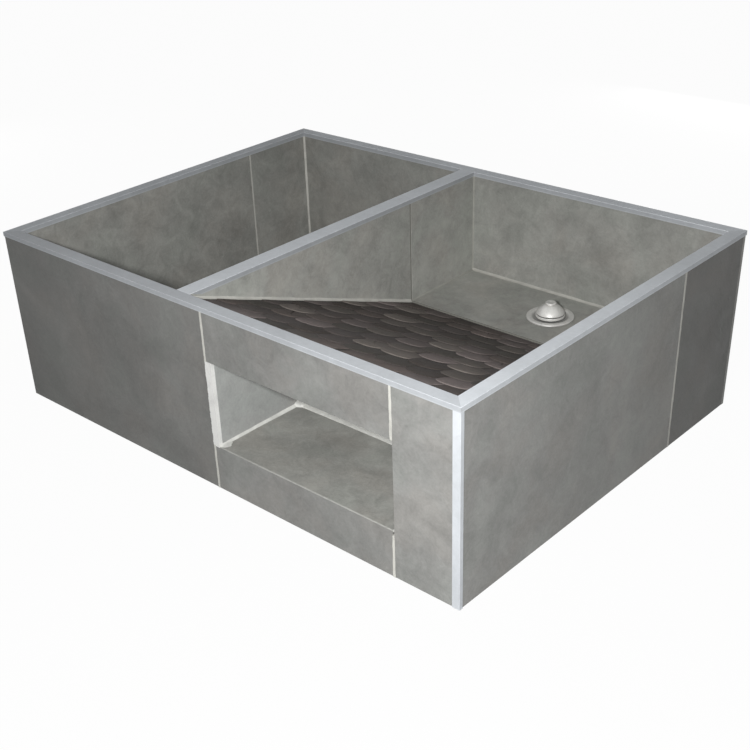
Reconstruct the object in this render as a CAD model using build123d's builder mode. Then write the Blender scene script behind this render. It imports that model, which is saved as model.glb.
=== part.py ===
from build123d import *
import math
import os

# A laundry sink: one tile-clad block with a deep basin on the left, a basin with a sloping
# washboard on the right, and a soap niche in the front under the washboard.
# Millimetres, +Z up, X along the width and Y from front to back. The origin is the middle of the
# footprint, on the surface that the sink stands on.

os.makedirs("parts", exist_ok=True)

# Overall size, over the metal profiles
WIDTH = 1000.0
DEPTH = 742.0
HEIGHT = 317.0

# Layers of the walls, floors and washboard
TILE = 7.0
CORE = 6.0  # mortar between the outer and the inner tile of a wall
PARTITION_CORE = 14.0
FLOOR_BED = 12.0
SLOPE_BED = 8.0

# Tiling
TILE_LENGTH = 543.0  # a whole tile; what is left of a wall gets a cut one
JOINT = 3.0
EASED = 0.5  # bevel round a tile's visible face
SET_BACK = 0.4  # grout lies this far behind the tile faces
CAULK = 5.0  # leg of the bead in a basin's inner edges
BEAD_EDGE = 0.1  # width of a floor bead's upper edge
NICHE_CAULK = 6.0

# Metal profiles on the rims and the front right corner
TRIM_SHEET = 1.0
TRIM_LEG = 8.0
TRIM_BEND = 0.6
CORNER_FRONT_LEG = 13.0
CORNER_SIDE_LEG = 7.0

# Basins
PARTITION_X = -48.5
RIGHT_FLOOR = 122.0
FLAT_DEPTH = 185.0  # flat floor of the right basin, from the washboard's foot to the back wall
WASHBOARD_DROP = 2.0  # from the rim's top to the washboard's upper edge

# Niche in the front
FRONT_JOINT_X = 12.0  # middle of the joint beside the large front tile
JAMB = 9.5  # grouted edge at the niche's left
CHEEK = 11.5  # mortar round the niche's lining tiles
NICHE_WIDTH = 361.0
NICHE_DEPTH = 180.0
NICHE_FLOOR = 80.0
MITRE_JOINT = 1.2  # grout between the mitred sill and niche floor, measured along their faces
CEILING_GAP = 0.5  # between the niche's ceiling tile and the bed over it

# Scales on the washboard
RELIEF = 2.4
SCALE_WIDTH = 62.0
SCALE_ROW = 32.0
SCALE_LAP = 16.0  # the part of a scale that the row below covers
SCALE_BOW = 15.0  # how far a scale's upper edge bows uphill
BOW_CHORDS = 3
SCALE_ROOT = 4.0  # how far the scales reach into the tile
SCALE_WANDER = 2.5  # how much the upper edges of the rows stray, so that no two rows match
ROW_STRAY = 5.0  # radians from the stray of one row to that of the next
TURN_STRAY = 3.0  # radians from the stray of the high scales to that of the low ones
LOW_SCALE = 0.62  # lift of every other scale, as a share of the relief
FIELD_MARGIN = 6.0  # plain border along the washboard's sides

# Drains, one in each basin
DRAIN_FROM_BACK = 89.0
RIGHT_DRAIN_SHIFT = -15.0  # from the middle of the right basin
FLANGE_RADIUS = 43.0
FLANGE_THICKNESS = 3.5
FLANGE_LIP = 9.0  # width of the raised lip
LIP_BEVEL = 1.5
RECESS_RADIUS = 29.5
RECESS_DROP = 2.5  # from the lip's top to the ring inside it
BARREL_RADIUS = 28.5
BARREL_WALL = 6.0
BARREL_STICK_OUT = 8.0  # barrel below the lock nut
CUP_FLOOR = 4.0
TAIL_RADIUS = 20.95
TAIL_WALL = 4.45
TAIL_LENGTH = 25.0
TAIL_CLEARANCE = 5.0  # under the left basin's tail
FLOOR_HOLE_GAP = 1.0
STRAINER_DEPTH = 12.0
STRAINER_THICKNESS = 2.0
STRAINER_LEDGE = 2.0
STRAINER_BAR = 3.0
STRAINER_HUB = 7.5
GASKET_THICKNESS = 3.0
GASKET_RADIUS = 40.0
NUT_HEIGHT = 10.0
NUT_ACROSS_FLATS = 76.0
THREAD_GAP = 0.15

# Plug
DOME_RADIUS = 25.2
DOME_RIM_Z = 9.0  # the dome's lower edge, over the floor
DOME_LIP = 1.6
DOME_RISE = 14.5
DOME_BANDS = 3  # flat-sided bands that make up its curve
DOME_SIDES = 36
CROWN_RADIUS = 8.5  # where the curve ends, round the neck
KNOB_RADIUS = 10.5
KNOB_THICKNESS = 3.0
NECK_RADIUS = 7.5
KNOB_NECK = 1.2  # gap between the dome's crown and the knob
DIMPLE_RADIUS = 5.5
DIMPLE_DEPTH = 0.8
STEM_RADIUS = 4.0
STEM_REACH = 16.0  # below the floor
STEM_GAP = 0.3
SEAL_RADIUS = 24.4
SEAL_GAP = 0.3

# Wall planes, from the outside in, each as a distance from the middle of the footprint
FACE_X = WIDTH / 2 - TRIM_SHEET
FACE_Y = DEPTH / 2 - TRIM_SHEET
CORE_X = FACE_X - TILE
CORE_Y = FACE_Y - TILE
BACKING_X = CORE_X - CORE
BACKING_Y = CORE_Y - CORE
BASIN_X = BACKING_X - TILE
BASIN_Y = BACKING_Y - TILE
RIM = TILE + CORE + TILE + 2 * TRIM_SHEET
PARTITION_RIM = TILE + PARTITION_CORE + TILE + 2 * TRIM_SHEET
WALL_TOP = HEIGHT - TRIM_SHEET
LEG_FOOT = HEIGHT - TRIM_LEG

# Partition: its core, and the basin faces on both sides
SPINE_LEFT = PARTITION_X - PARTITION_CORE / 2
SPINE_RIGHT = PARTITION_X + PARTITION_CORE / 2
LEFT_BASIN_END = SPINE_LEFT - TILE
RIGHT_BASIN_START = SPINE_RIGHT + TILE

# Drain heights below a floor, and the left floor, which is as low as its drain lets it be
NUT_TOP = TILE + FLOOR_BED + GASKET_THICKNESS
BARREL_LENGTH = NUT_TOP + NUT_HEIGHT + BARREL_STICK_OUT
DRAIN_DROP = BARREL_LENGTH + TAIL_LENGTH
LEFT_FLOOR = DRAIN_DROP + TAIL_CLEARANCE
CUP_RADIUS = BARREL_RADIUS - BARREL_WALL
TAIL_BORE = TAIL_RADIUS - TAIL_WALL
SEAT_TOP = FLANGE_THICKNESS - RECESS_DROP
DRAIN_Y = BASIN_Y - DRAIN_FROM_BACK
LEFT_DRAIN = ((LEFT_BASIN_END - BASIN_X) / 2, DRAIN_Y, LEFT_FLOOR)
RIGHT_DRAIN = ((RIGHT_BASIN_START + BASIN_X) / 2 + RIGHT_DRAIN_SHIFT, DRAIN_Y, RIGHT_FLOOR)
DRAINS = {"left": LEFT_DRAIN, "right": RIGHT_DRAIN}

# Washboard slope, from its foot up to the rim
FOOT_Y = BASIN_Y - FLAT_DEPTH
REAR_FLOOR_Y = FOOT_Y + JOINT
RIM_INNER_Y = DEPTH / 2 - RIM
SLOPE = (HEIGHT - WASHBOARD_DROP - RIGHT_FLOOR) / (FOOT_Y + RIM_INNER_Y)
SLOPE_COS = 1 / math.hypot(1, SLOPE)
SLOPE_SIN = SLOPE * SLOPE_COS
UPHILL = Vector(0, -SLOPE_COS, SLOPE_SIN)
DOWNHILL = -UPHILL
OFF_SLOPE = Vector(0, SLOPE_SIN, SLOPE_COS)
BED_TOP = RELIEF + TILE
BED_UNDER = BED_TOP + SLOPE_BED


def slope_z(y, depth=0.0):
    """Height of the slope at y, on its crests or depth below them, measured square to it."""
    return RIGHT_FLOOR + (FOOT_Y - y) * SLOPE - depth / SLOPE_COS


def slope_y(z, depth=0.0):
    """Where that surface has the height z."""
    return FOOT_Y - (z + depth / SLOPE_COS - RIGHT_FLOOR) / SLOPE


# Niche, whose ceiling lies just under the washboard's bed
NICHE_LEFT = FRONT_JOINT_X + JOINT / 2 + JAMB
NICHE_RIGHT = NICHE_LEFT + NICHE_WIDTH
NICHE_BACK = NICHE_DEPTH - FACE_Y
NICHE_TOP = slope_z(NICHE_BACK + TILE, BED_UNDER) - CEILING_GAP - TILE
CASING_LEFT = NICHE_LEFT - TILE - CHEEK
CASING_RIGHT = NICHE_RIGHT + TILE + CHEEK
CASING_BACK = NICHE_BACK + TILE + CHEEK

# The inner legs of the rim profiles stop short of the washboard's upper end
LEG_START = slope_y(LEG_FOOT, RELIEF - CAULK)
BEAD_START = slope_y(WALL_TOP - SET_BACK, RELIEF - CAULK)


def write(piece, label):
    """Names a finished piece and writes its file."""
    piece.part.label = label
    export_step(piece.part, f"parts/{label}.step")


def board(label, low, high, shown=None, hole=None):
    """A tile or board between two corners. shown is the way its visible face looks, and the edges
    of that face are eased. hole is the (x, y, radius) of an upright hole through it."""
    with BuildPart() as piece:
        with BuildSketch(Plane.XY.offset(low[2])):
            with Locations(((low[0] + high[0]) / 2, (low[1] + high[1]) / 2)):
                Rectangle(high[0] - low[0], high[1] - low[1])
        extrude(amount=high[2] - low[2])
        if shown:
            chamfer(piece.faces().sort_by(shown)[-1].edges(), EASED)
        if hole:
            with Locations((hole[0], hole[1], high[2])):
                Hole(hole[2])
    write(piece, label)


def side_profile(label, x_low, x_high, outline, shown=None):
    """A piece with one outline in Y and Z all along X, such as a tile cut along the slope."""
    with BuildPart() as piece:
        with BuildSketch(Plane.YZ.offset(x_low)):
            with BuildLine():
                Polyline(*outline, close=True)
            make_face()
        extrude(amount=x_high - x_low)
        if shown:
            chamfer(piece.faces().sort_by(shown)[-1].edges(), EASED)
    write(piece, label)


def bars(piece_bars):
    """Straight bars of grout, each between two corners, added to the part being built."""
    for low, high in piece_bars:
        with BuildSketch(Plane.XY.offset(low[2])) as foot:
            with Locations(((low[0] + high[0]) / 2, (low[1] + high[1]) / 2)):
                Rectangle(high[0] - low[0], high[1] - low[1])
        extrude(foot.sketch, amount=high[2] - low[2])


def strip(x_low, x_high, outline):
    """A strip of grout with one outline in Y and Z all along X, added to the part being built."""
    with BuildSketch(Plane.YZ.offset(x_low)) as end:
        with BuildLine():
            Polyline(*outline, close=True)
        make_face()
    extrude(end.sketch, amount=x_high - x_low)


def corner_bead(x, y, to_x, to_y, low, high, leg):
    """An upright bead in the corner at x, y. to_x and to_y, each 1 or -1, point into the basin."""
    with BuildSketch(Plane.XY.offset(low)) as foot:
        with BuildLine():
            Polyline((x, y), (x + to_x * leg, y), (x, y + to_y * leg), close=True)
        make_face()
    extrude(foot.sketch, amount=high - low, dir=(0, 0, 1))


def floor_bead(low_x, high_x, low_y, high_y, floor, leg, open_front):
    """A bead along the edges of a floor, with a sloping face, and with none along an open front."""
    with BuildSketch(Plane.XY.offset(floor)) as foot:
        with Locations(((low_x + high_x) / 2, (low_y + high_y) / 2)):
            Rectangle(high_x - low_x, high_y - low_y)
    extrude(foot.sketch, amount=leg)
    front = low_y - 2 * leg if open_front else low_y + leg
    sunk = 2 * (leg - BEAD_EDGE)
    with BuildSketch(Plane.XY.offset(floor)) as clear_foot:
        with Locations(((low_x + high_x) / 2, (front + high_y - leg) / 2)):
            Rectangle(high_x - low_x - 2 * leg, high_y - leg - front)
    with BuildSketch(Plane.XY.offset(floor + leg)) as clear_top:
        with Locations(((low_x + high_x) / 2, (front + high_y - leg) / 2)):
            Rectangle(high_x - low_x - 2 * leg + sunk, high_y - leg - front + sunk)
    loft([clear_foot.sketch.face(), clear_top.sketch.face()], mode=Mode.SUBTRACT)


# Outer tiles: those of the front and back cover the ends of those of the sides

LARGE_END = FRONT_JOINT_X - JOINT / 2
SMALL_START = FRONT_JOINT_X + JOINT / 2
SMALL_END = NICHE_RIGHT - JOINT
SILL_TOP = NICHE_FLOOR - MITRE_JOINT
board("front_large_tile", (-FACE_X, -FACE_Y, 0), (LARGE_END, -CORE_Y, WALL_TOP), -Axis.Y)
board("front_lintel_tile", (SMALL_START, -FACE_Y, NICHE_TOP), (SMALL_END, -CORE_Y, WALL_TOP), -Axis.Y)
side_profile(
    "front_sill_tile",
    SMALL_START,
    SMALL_END,
    [(-FACE_Y, 0), (-CORE_Y, 0), (-CORE_Y, SILL_TOP - TILE), (-FACE_Y, SILL_TOP)],
    -Axis.Y,
)
board("front_pilaster_tile", (NICHE_RIGHT, -FACE_Y, 0), (FACE_X, -CORE_Y, WALL_TOP), -Axis.Y)

SIDE_JOINT_Y = TILE_LENGTH - CORE_Y
BACK_JOINT_X = TILE_LENGTH - FACE_X
board("right_side_front_tile", (CORE_X, -CORE_Y, 0), (FACE_X, SIDE_JOINT_Y, WALL_TOP), Axis.X)
board("right_side_back_tile", (CORE_X, SIDE_JOINT_Y + JOINT, 0), (FACE_X, CORE_Y, WALL_TOP), Axis.X)
board("left_side_front_tile", (-FACE_X, -CORE_Y, 0), (-CORE_X, SIDE_JOINT_Y, WALL_TOP), -Axis.X)
board("left_side_back_tile", (-FACE_X, SIDE_JOINT_Y + JOINT, 0), (-CORE_X, CORE_Y, WALL_TOP), -Axis.X)
board("back_left_tile", (-FACE_X, CORE_Y, 0), (BACK_JOINT_X, FACE_Y, WALL_TOP), Axis.Y)
board("back_right_tile", (BACK_JOINT_X + JOINT, CORE_Y, 0), (FACE_X, FACE_Y, WALL_TOP), Axis.Y)

# Mortar cores between the tile skins

with BuildPart() as front_core:
    with BuildSketch(Plane.XZ.offset(BACKING_Y)):
        with Locations((0, WALL_TOP / 2)):
            Rectangle(2 * CORE_X, WALL_TOP)
        with Locations(((NICHE_LEFT + NICHE_RIGHT) / 2, (NICHE_FLOOR + NICHE_TOP) / 2)):
            Rectangle(NICHE_WIDTH + 2 * TILE, NICHE_TOP - NICHE_FLOOR + 2 * TILE, mode=Mode.SUBTRACT)
    extrude(amount=CORE)
write(front_core, "front_core")
board("back_core", (-CORE_X, BACKING_Y, 0), (CORE_X, CORE_Y, WALL_TOP))
board("left_core", (-CORE_X, -BACKING_Y, 0), (-BACKING_X, BACKING_Y, WALL_TOP))
board("right_core", (BACKING_X, -BACKING_Y, 0), (CORE_X, BACKING_Y, WALL_TOP))
board("partition_core", (SPINE_LEFT, -BACKING_Y, 0), (SPINE_RIGHT, BACKING_Y, WALL_TOP))

# Deep basin on the left: its bed and floor tiles run from core to core, and the wall tiles stand
# on the floor tiles

HOLE_RADIUS = BARREL_RADIUS + FLOOR_HOLE_GAP
LEFT_HOLE = (LEFT_DRAIN[0], LEFT_DRAIN[1], HOLE_RADIUS)
LEFT_TILE_UNDER = LEFT_FLOOR - TILE
FLOOR_JOINT_Y = TILE_LENGTH - BACKING_Y
WALL_JOINT_Y = TILE_LENGTH - BASIN_Y
board(
    "left_floor_bed",
    (-BACKING_X, -BACKING_Y, LEFT_TILE_UNDER - FLOOR_BED),
    (SPINE_LEFT, BACKING_Y, LEFT_TILE_UNDER),
    hole=LEFT_HOLE,
)
board(
    "left_basin_floor_front_tile",
    (-BACKING_X, -BACKING_Y, LEFT_TILE_UNDER),
    (SPINE_LEFT, FLOOR_JOINT_Y, LEFT_FLOOR),
)
board(
    "left_basin_floor_back_tile",
    (-BACKING_X, FLOOR_JOINT_Y + JOINT, LEFT_TILE_UNDER),
    (SPINE_LEFT, BACKING_Y, LEFT_FLOOR),
    hole=LEFT_HOLE,
)
board(
    "left_basin_front_tile",
    (-BACKING_X, -BACKING_Y, LEFT_FLOOR),
    (SPINE_LEFT, -BASIN_Y, WALL_TOP),
    Axis.Y,
)
board(
    "left_basin_back_tile",
    (-BACKING_X, BASIN_Y, LEFT_FLOOR),
    (SPINE_LEFT, BACKING_Y, WALL_TOP),
    -Axis.Y,
)
LEFT_BASIN_WALLS = {
    "side": (-BACKING_X, -BASIN_X, Axis.X),
    "partition": (LEFT_BASIN_END, SPINE_LEFT, -Axis.X),
}
for wall, (wall_low, wall_high, looks) in LEFT_BASIN_WALLS.items():
    board(
        f"left_basin_{wall}_front_tile",
        (wall_low, -BASIN_Y, LEFT_FLOOR),
        (wall_high, WALL_JOINT_Y, WALL_TOP),
        looks,
    )
    board(
        f"left_basin_{wall}_back_tile",
        (wall_low, WALL_JOINT_Y + JOINT, LEFT_FLOOR),
        (wall_high, BASIN_Y, WALL_TOP),
        looks,
    )

# Right basin: a flat floor at the back, and the washboard from there up to the front rim

RIGHT_HOLE = (RIGHT_DRAIN[0], RIGHT_DRAIN[1], HOLE_RADIUS)
RIGHT_TILE_UNDER = RIGHT_FLOOR - TILE
board(
    "right_floor_bed",
    (SPINE_RIGHT, FOOT_Y, RIGHT_TILE_UNDER - FLOOR_BED),
    (BACKING_X, BACKING_Y, RIGHT_TILE_UNDER),
    hole=RIGHT_HOLE,
)
board(
    "right_basin_floor_tile",
    (SPINE_RIGHT, REAR_FLOOR_Y, RIGHT_TILE_UNDER),
    (BACKING_X, BACKING_Y, RIGHT_FLOOR),
    hole=RIGHT_HOLE,
)
board(
    "right_basin_back_tile",
    (SPINE_RIGHT, BASIN_Y, RIGHT_FLOOR),
    (BACKING_X, BACKING_Y, WALL_TOP),
    -Axis.Y,
)
side_profile(
    "washboard_bed",
    SPINE_RIGHT,
    BACKING_X,
    [
        (-BACKING_Y, WALL_TOP),
        (-BASIN_Y, WALL_TOP),
        (-BASIN_Y, slope_z(-BASIN_Y, BED_TOP)),
        (FOOT_Y, slope_z(FOOT_Y, BED_TOP)),
        (FOOT_Y, slope_z(FOOT_Y, BED_UNDER)),
        (-BACKING_Y, slope_z(-BACKING_Y, BED_UNDER)),
    ],
)
RIGHT_BASIN_WALLS = {
    "partition": (SPINE_RIGHT, RIGHT_BASIN_START, Axis.X),
    "side": (BASIN_X, BACKING_X, -Axis.X),
}
for wall, (wall_low, wall_high, looks) in RIGHT_BASIN_WALLS.items():
    side_profile(
        f"right_basin_{wall}_front_tile",
        wall_low,
        wall_high,
        [
            (-BASIN_Y, slope_z(-BASIN_Y, BED_TOP)),
            (FOOT_Y, slope_z(FOOT_Y, BED_TOP)),
            (FOOT_Y, WALL_TOP),
            (-BASIN_Y, WALL_TOP),
        ],
        looks,
    )
    board(
        f"right_basin_{wall}_back_tile",
        (wall_low, REAR_FLOOR_Y, RIGHT_FLOOR),
        (wall_high, BASIN_Y, WALL_TOP),
        looks,
    )

# Washboard: rows of overlapping scales on a cut tile. Each row lies on its own plane, tipped so
# that the scales rise towards their bowed upper edges, and every other scale rises less.

BOARD_WIDTH = BASIN_X - RIGHT_BASIN_START
BOARD_MIDDLE = (BASIN_X + RIGHT_BASIN_START) / 2
BOARD_LENGTH = (FOOT_Y + BASIN_Y) / SLOPE_COS
FIELD_WIDTH = BOARD_WIDTH - 2 * FIELD_MARGIN
FIELD_LENGTH = BOARD_LENGTH - 2 * FIELD_MARGIN
COLUMNS = max(2, round(FIELD_WIDTH / SCALE_WIDTH))
ROWS = max(2, round(FIELD_LENGTH / SCALE_ROW))
COLUMN = FIELD_WIDTH / COLUMNS
ROW = FIELD_LENGTH / ROWS
BOARD_FOOT = Vector(BOARD_MIDDLE, FOOT_Y, RIGHT_FLOOR)


def scale_outline(near, side):
    """Corners of a scale from near to near plus a column, with a bowed upper edge over side."""
    corners = [(near, 0), (near + COLUMN, 0)]
    for chord in range(BOW_CHORDS + 1):
        share = chord / BOW_CHORDS
        bow = SCALE_BOW * math.sin(math.pi * share)
        corners.append((near + COLUMN * (1 - share), side + bow))
    return corners


with BuildPart() as washboard:
    for row in range(ROWS):
        start = BOARD_FOOT + UPHILL * (FIELD_MARGIN + row * ROW - SCALE_LAP) - OFF_SLOPE * RELIEF
        stagger = row % 2 / 2
        for turn, lift in enumerate((RELIEF, RELIEF * LOW_SCALE)):
            stray = SCALE_WANDER * math.sin(ROW_STRAY * row + TURN_STRAY * turn)
            reach = ROW + SCALE_LAP + stray
            tip = math.atan(lift / reach)
            out = OFF_SLOPE * math.cos(tip) - UPHILL * math.sin(tip)
            with BuildSketch(Plane(origin=start, x_dir=(-1, 0, 0), z_dir=out)):
                for column in range(turn, COLUMNS + 1, 2):
                    near = (column - stagger - COLUMNS / 2) * COLUMN
                    with BuildLine():
                        Polyline(*scale_outline(near, reach - SCALE_BOW), close=True)
                    make_face()
            extrude(amount=-SCALE_ROOT)
    field_top = BOARD_FOOT + UPHILL * BOARD_LENGTH / 2
    with BuildSketch(Plane(origin=field_top, x_dir=(1, 0, 0), z_dir=OFF_SLOPE)):
        Rectangle(FIELD_WIDTH, FIELD_LENGTH)
    extrude(amount=-BED_TOP, mode=Mode.INTERSECT)
    with BuildSketch(Plane.YZ.offset(RIGHT_BASIN_START)):
        with BuildLine():
            Polyline(
                (-BASIN_Y, slope_z(-BASIN_Y, RELIEF)),
                (FOOT_Y, slope_z(FOOT_Y, RELIEF)),
                (FOOT_Y, slope_z(FOOT_Y, BED_TOP)),
                (-BASIN_Y, slope_z(-BASIN_Y, BED_TOP)),
                close=True,
            )
        make_face()
    extrude(amount=BOARD_WIDTH)
write(washboard, "washboard")

# Niche: a mortar casing behind the front core, lined with tiles, under the washboard's bed

with BuildPart() as niche_casing:
    with BuildSketch(Plane.YZ.offset(CASING_LEFT)):
        with BuildLine():
            Polyline(
                (-BACKING_Y, NICHE_FLOOR - TILE - FLOOR_BED),
                (CASING_BACK, NICHE_FLOOR - TILE - FLOOR_BED),
                (CASING_BACK, slope_z(CASING_BACK, BED_UNDER)),
                (-BACKING_Y, slope_z(-BACKING_Y, BED_UNDER)),
                close=True,
            )
        make_face()
    extrude(amount=CASING_RIGHT - CASING_LEFT)
    pocket_depth = NICHE_BACK + TILE + BACKING_Y
    with BuildSketch(Plane.XY.offset(NICHE_FLOOR - TILE)):
        with Locations(((NICHE_LEFT + NICHE_RIGHT) / 2, -BACKING_Y + pocket_depth / 2)):
            Rectangle(NICHE_WIDTH + 2 * TILE, pocket_depth)
    extrude(amount=HEIGHT, mode=Mode.SUBTRACT)
write(niche_casing, "niche_casing")

LINING_FOOT = NICHE_FLOOR - TILE
side_profile(
    "niche_floor_tile",
    NICHE_LEFT,
    NICHE_RIGHT,
    [
        (MITRE_JOINT - FACE_Y, NICHE_FLOOR),
        (NICHE_BACK, NICHE_FLOOR),
        (NICHE_BACK, LINING_FOOT),
        (MITRE_JOINT - CORE_Y, LINING_FOOT),
    ],
    Axis.Z,
)
board(
    "niche_left_tile",
    (NICHE_LEFT - TILE, -CORE_Y, LINING_FOOT),
    (NICHE_LEFT, NICHE_BACK, NICHE_TOP),
    Axis.X,
)
board(
    "niche_right_tile",
    (NICHE_RIGHT, -CORE_Y, LINING_FOOT),
    (NICHE_RIGHT + TILE, NICHE_BACK, NICHE_TOP),
    -Axis.X,
)
board(
    "niche_back_tile",
    (NICHE_LEFT - TILE, NICHE_BACK, LINING_FOOT),
    (NICHE_RIGHT + TILE, NICHE_BACK + TILE, NICHE_TOP),
    -Axis.Y,
)
board(
    "niche_ceiling_tile",
    (NICHE_LEFT - TILE, -CORE_Y, NICHE_TOP),
    (NICHE_RIGHT + TILE, NICHE_BACK + TILE, NICHE_TOP + TILE),
)

# Grout and caulk

GROUT_X = FACE_X - SET_BACK
GROUT_Y = FACE_Y - SET_BACK
SILL_FACE = (-GROUT_Y, SILL_TOP - SET_BACK)
SILL_HEEL = (-CORE_Y, SILL_TOP - TILE)
with BuildPart() as outer_grout:
    strip(
        NICHE_LEFT,
        NICHE_RIGHT,
        [
            SILL_FACE,
            (MITRE_JOINT - GROUT_Y, NICHE_FLOOR - SET_BACK),
            (MITRE_JOINT - CORE_Y, LINING_FOOT),
            (-CORE_Y, LINING_FOOT),
            SILL_HEEL,
        ],
    )
    strip(
        SMALL_START,
        NICHE_LEFT,
        [SILL_FACE, (-GROUT_Y, NICHE_FLOOR), (-CORE_Y, NICHE_FLOOR), SILL_HEEL],
    )
    strip(SMALL_END, NICHE_RIGHT, [SILL_FACE, SILL_HEEL, (-CORE_Y, 0), (-GROUT_Y, 0)])
    bars(
        [
            ((LARGE_END, -GROUT_Y, 0), (SMALL_START, -CORE_Y, WALL_TOP)),
            ((SMALL_START, -GROUT_Y, NICHE_FLOOR), (NICHE_LEFT, -CORE_Y, NICHE_TOP)),
            ((SMALL_END, -GROUT_Y, NICHE_TOP), (NICHE_RIGHT, -CORE_Y, WALL_TOP)),
            ((CORE_X, SIDE_JOINT_Y, 0), (GROUT_X, SIDE_JOINT_Y + JOINT, WALL_TOP)),
            ((-GROUT_X, SIDE_JOINT_Y, 0), (-CORE_X, SIDE_JOINT_Y + JOINT, WALL_TOP)),
            ((BACK_JOINT_X, CORE_Y, 0), (BACK_JOINT_X + JOINT, GROUT_Y, WALL_TOP)),
        ]
    )
write(outer_grout, "outer_grout")

with BuildPart() as left_basin_caulk:
    floor_bead(-BASIN_X, LEFT_BASIN_END, -BASIN_Y, BASIN_Y, LEFT_FLOOR, CAULK, False)
    for corner_x, to_x in ((-BASIN_X, 1), (LEFT_BASIN_END, -1)):
        for corner_y, to_y in ((-BASIN_Y, 1), (BASIN_Y, -1)):
            corner_bead(corner_x, corner_y, to_x, to_y, LEFT_FLOOR + CAULK, LEG_FOOT, CAULK)
write(left_basin_caulk, "left_basin_caulk")

with BuildPart() as right_basin_caulk:
    floor_bead(
        RIGHT_BASIN_START, BASIN_X, REAR_FLOOR_Y, BASIN_Y, RIGHT_FLOOR, CAULK, True
    )
    for corner_x, to_x in ((RIGHT_BASIN_START, 1), (BASIN_X, -1)):
        corner_bead(corner_x, BASIN_Y, to_x, -1, RIGHT_FLOOR + CAULK, LEG_FOOT, CAULK)
        bead_head = Vector(corner_x, BEAD_START, slope_z(BEAD_START, RELIEF))
        with BuildSketch(Plane(origin=bead_head, x_dir=(to_x, 0, 0), z_dir=DOWNHILL)):
            with BuildLine():
                Polyline((0, 0), (CAULK, 0), (0, -to_x * CAULK), close=True)
            make_face()
        extrude(amount=(FOOT_Y - BEAD_START) / SLOPE_COS - CAULK * SLOPE)
write(right_basin_caulk, "right_basin_caulk")

with BuildPart() as left_basin_grout:
    bars(
        [
            (
                (-BACKING_X, FLOOR_JOINT_Y, LEFT_TILE_UNDER),
                (SPINE_LEFT, FLOOR_JOINT_Y + JOINT, LEFT_FLOOR - SET_BACK),
            ),
            (
                (-BACKING_X, WALL_JOINT_Y, LEFT_FLOOR),
                (-BASIN_X - SET_BACK, WALL_JOINT_Y + JOINT, WALL_TOP),
            ),
            (
                (LEFT_BASIN_END + SET_BACK, WALL_JOINT_Y, LEFT_FLOOR),
                (SPINE_LEFT, WALL_JOINT_Y + JOINT, WALL_TOP),
            ),
        ]
    )
write(left_basin_grout, "left_basin_grout")

with BuildPart() as right_basin_grout:
    bars(
        [
            (
                (RIGHT_BASIN_START, FOOT_Y, RIGHT_TILE_UNDER),
                (BASIN_X, REAR_FLOOR_Y, RIGHT_FLOOR - SET_BACK),
            ),
            (
                (SPINE_RIGHT, FOOT_Y, RIGHT_TILE_UNDER),
                (RIGHT_BASIN_START - SET_BACK, REAR_FLOOR_Y, WALL_TOP),
            ),
            (
                (BASIN_X + SET_BACK, FOOT_Y, RIGHT_TILE_UNDER),
                (BACKING_X, REAR_FLOOR_Y, WALL_TOP),
            ),
        ]
    )
write(right_basin_grout, "right_basin_grout")

with BuildPart() as niche_caulk:
    floor_bead(NICHE_LEFT, NICHE_RIGHT, -CORE_Y, NICHE_BACK, NICHE_FLOOR, NICHE_CAULK, True)
write(niche_caulk, "niche_caulk")

# Rim profiles: bent sheet capping each wall, mitred at the corners


def rim_section(width):
    """Section of a cap over a wall: across from its outer face, and down from its top."""
    with BuildLine() as section:
        Polyline(
            (0, -TRIM_LEG),
            (0, 0),
            (width, 0),
            (width, -TRIM_LEG),
            (width - TRIM_SHEET, -TRIM_LEG),
            (width - TRIM_SHEET, -TRIM_SHEET),
            (TRIM_SHEET, -TRIM_SHEET),
            (TRIM_SHEET, -TRIM_LEG),
            close=True,
        )
    make_face(section.edges())


def rim(label, corner, run, inward, length, gap=None):
    """A mitred rim from corner along run. gap is the (start, end) of a stretch with no inner leg."""
    with BuildPart() as piece:
        with BuildSketch(Plane(origin=corner, x_dir=inward, z_dir=run)):
            rim_section(RIM)
        extrude(amount=length)
        top_edges = piece.edges().filter_by(Axis(corner, run)).group_by(Axis.Z)[-1]
        fillet(top_edges, TRIM_BEND)
        with BuildSketch(Plane(origin=corner, x_dir=run, z_dir=(0, 0, 1))):
            with BuildLine():
                Polyline((0, 0), (length, 0), (length - RIM, RIM), (RIM, RIM), close=True)
            make_face()
        extrude(amount=-TRIM_LEG, mode=Mode.INTERSECT)
        if gap:
            with BuildSketch(Plane(origin=corner, x_dir=run, z_dir=(0, 0, 1)).offset(-TRIM_SHEET)):
                with Locations(((gap[0] + gap[1]) / 2, RIM - TRIM_SHEET / 2)):
                    Rectangle(gap[1] - gap[0], TRIM_SHEET)
            extrude(amount=-TRIM_LEG, mode=Mode.SUBTRACT)
    write(piece, label)


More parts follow.
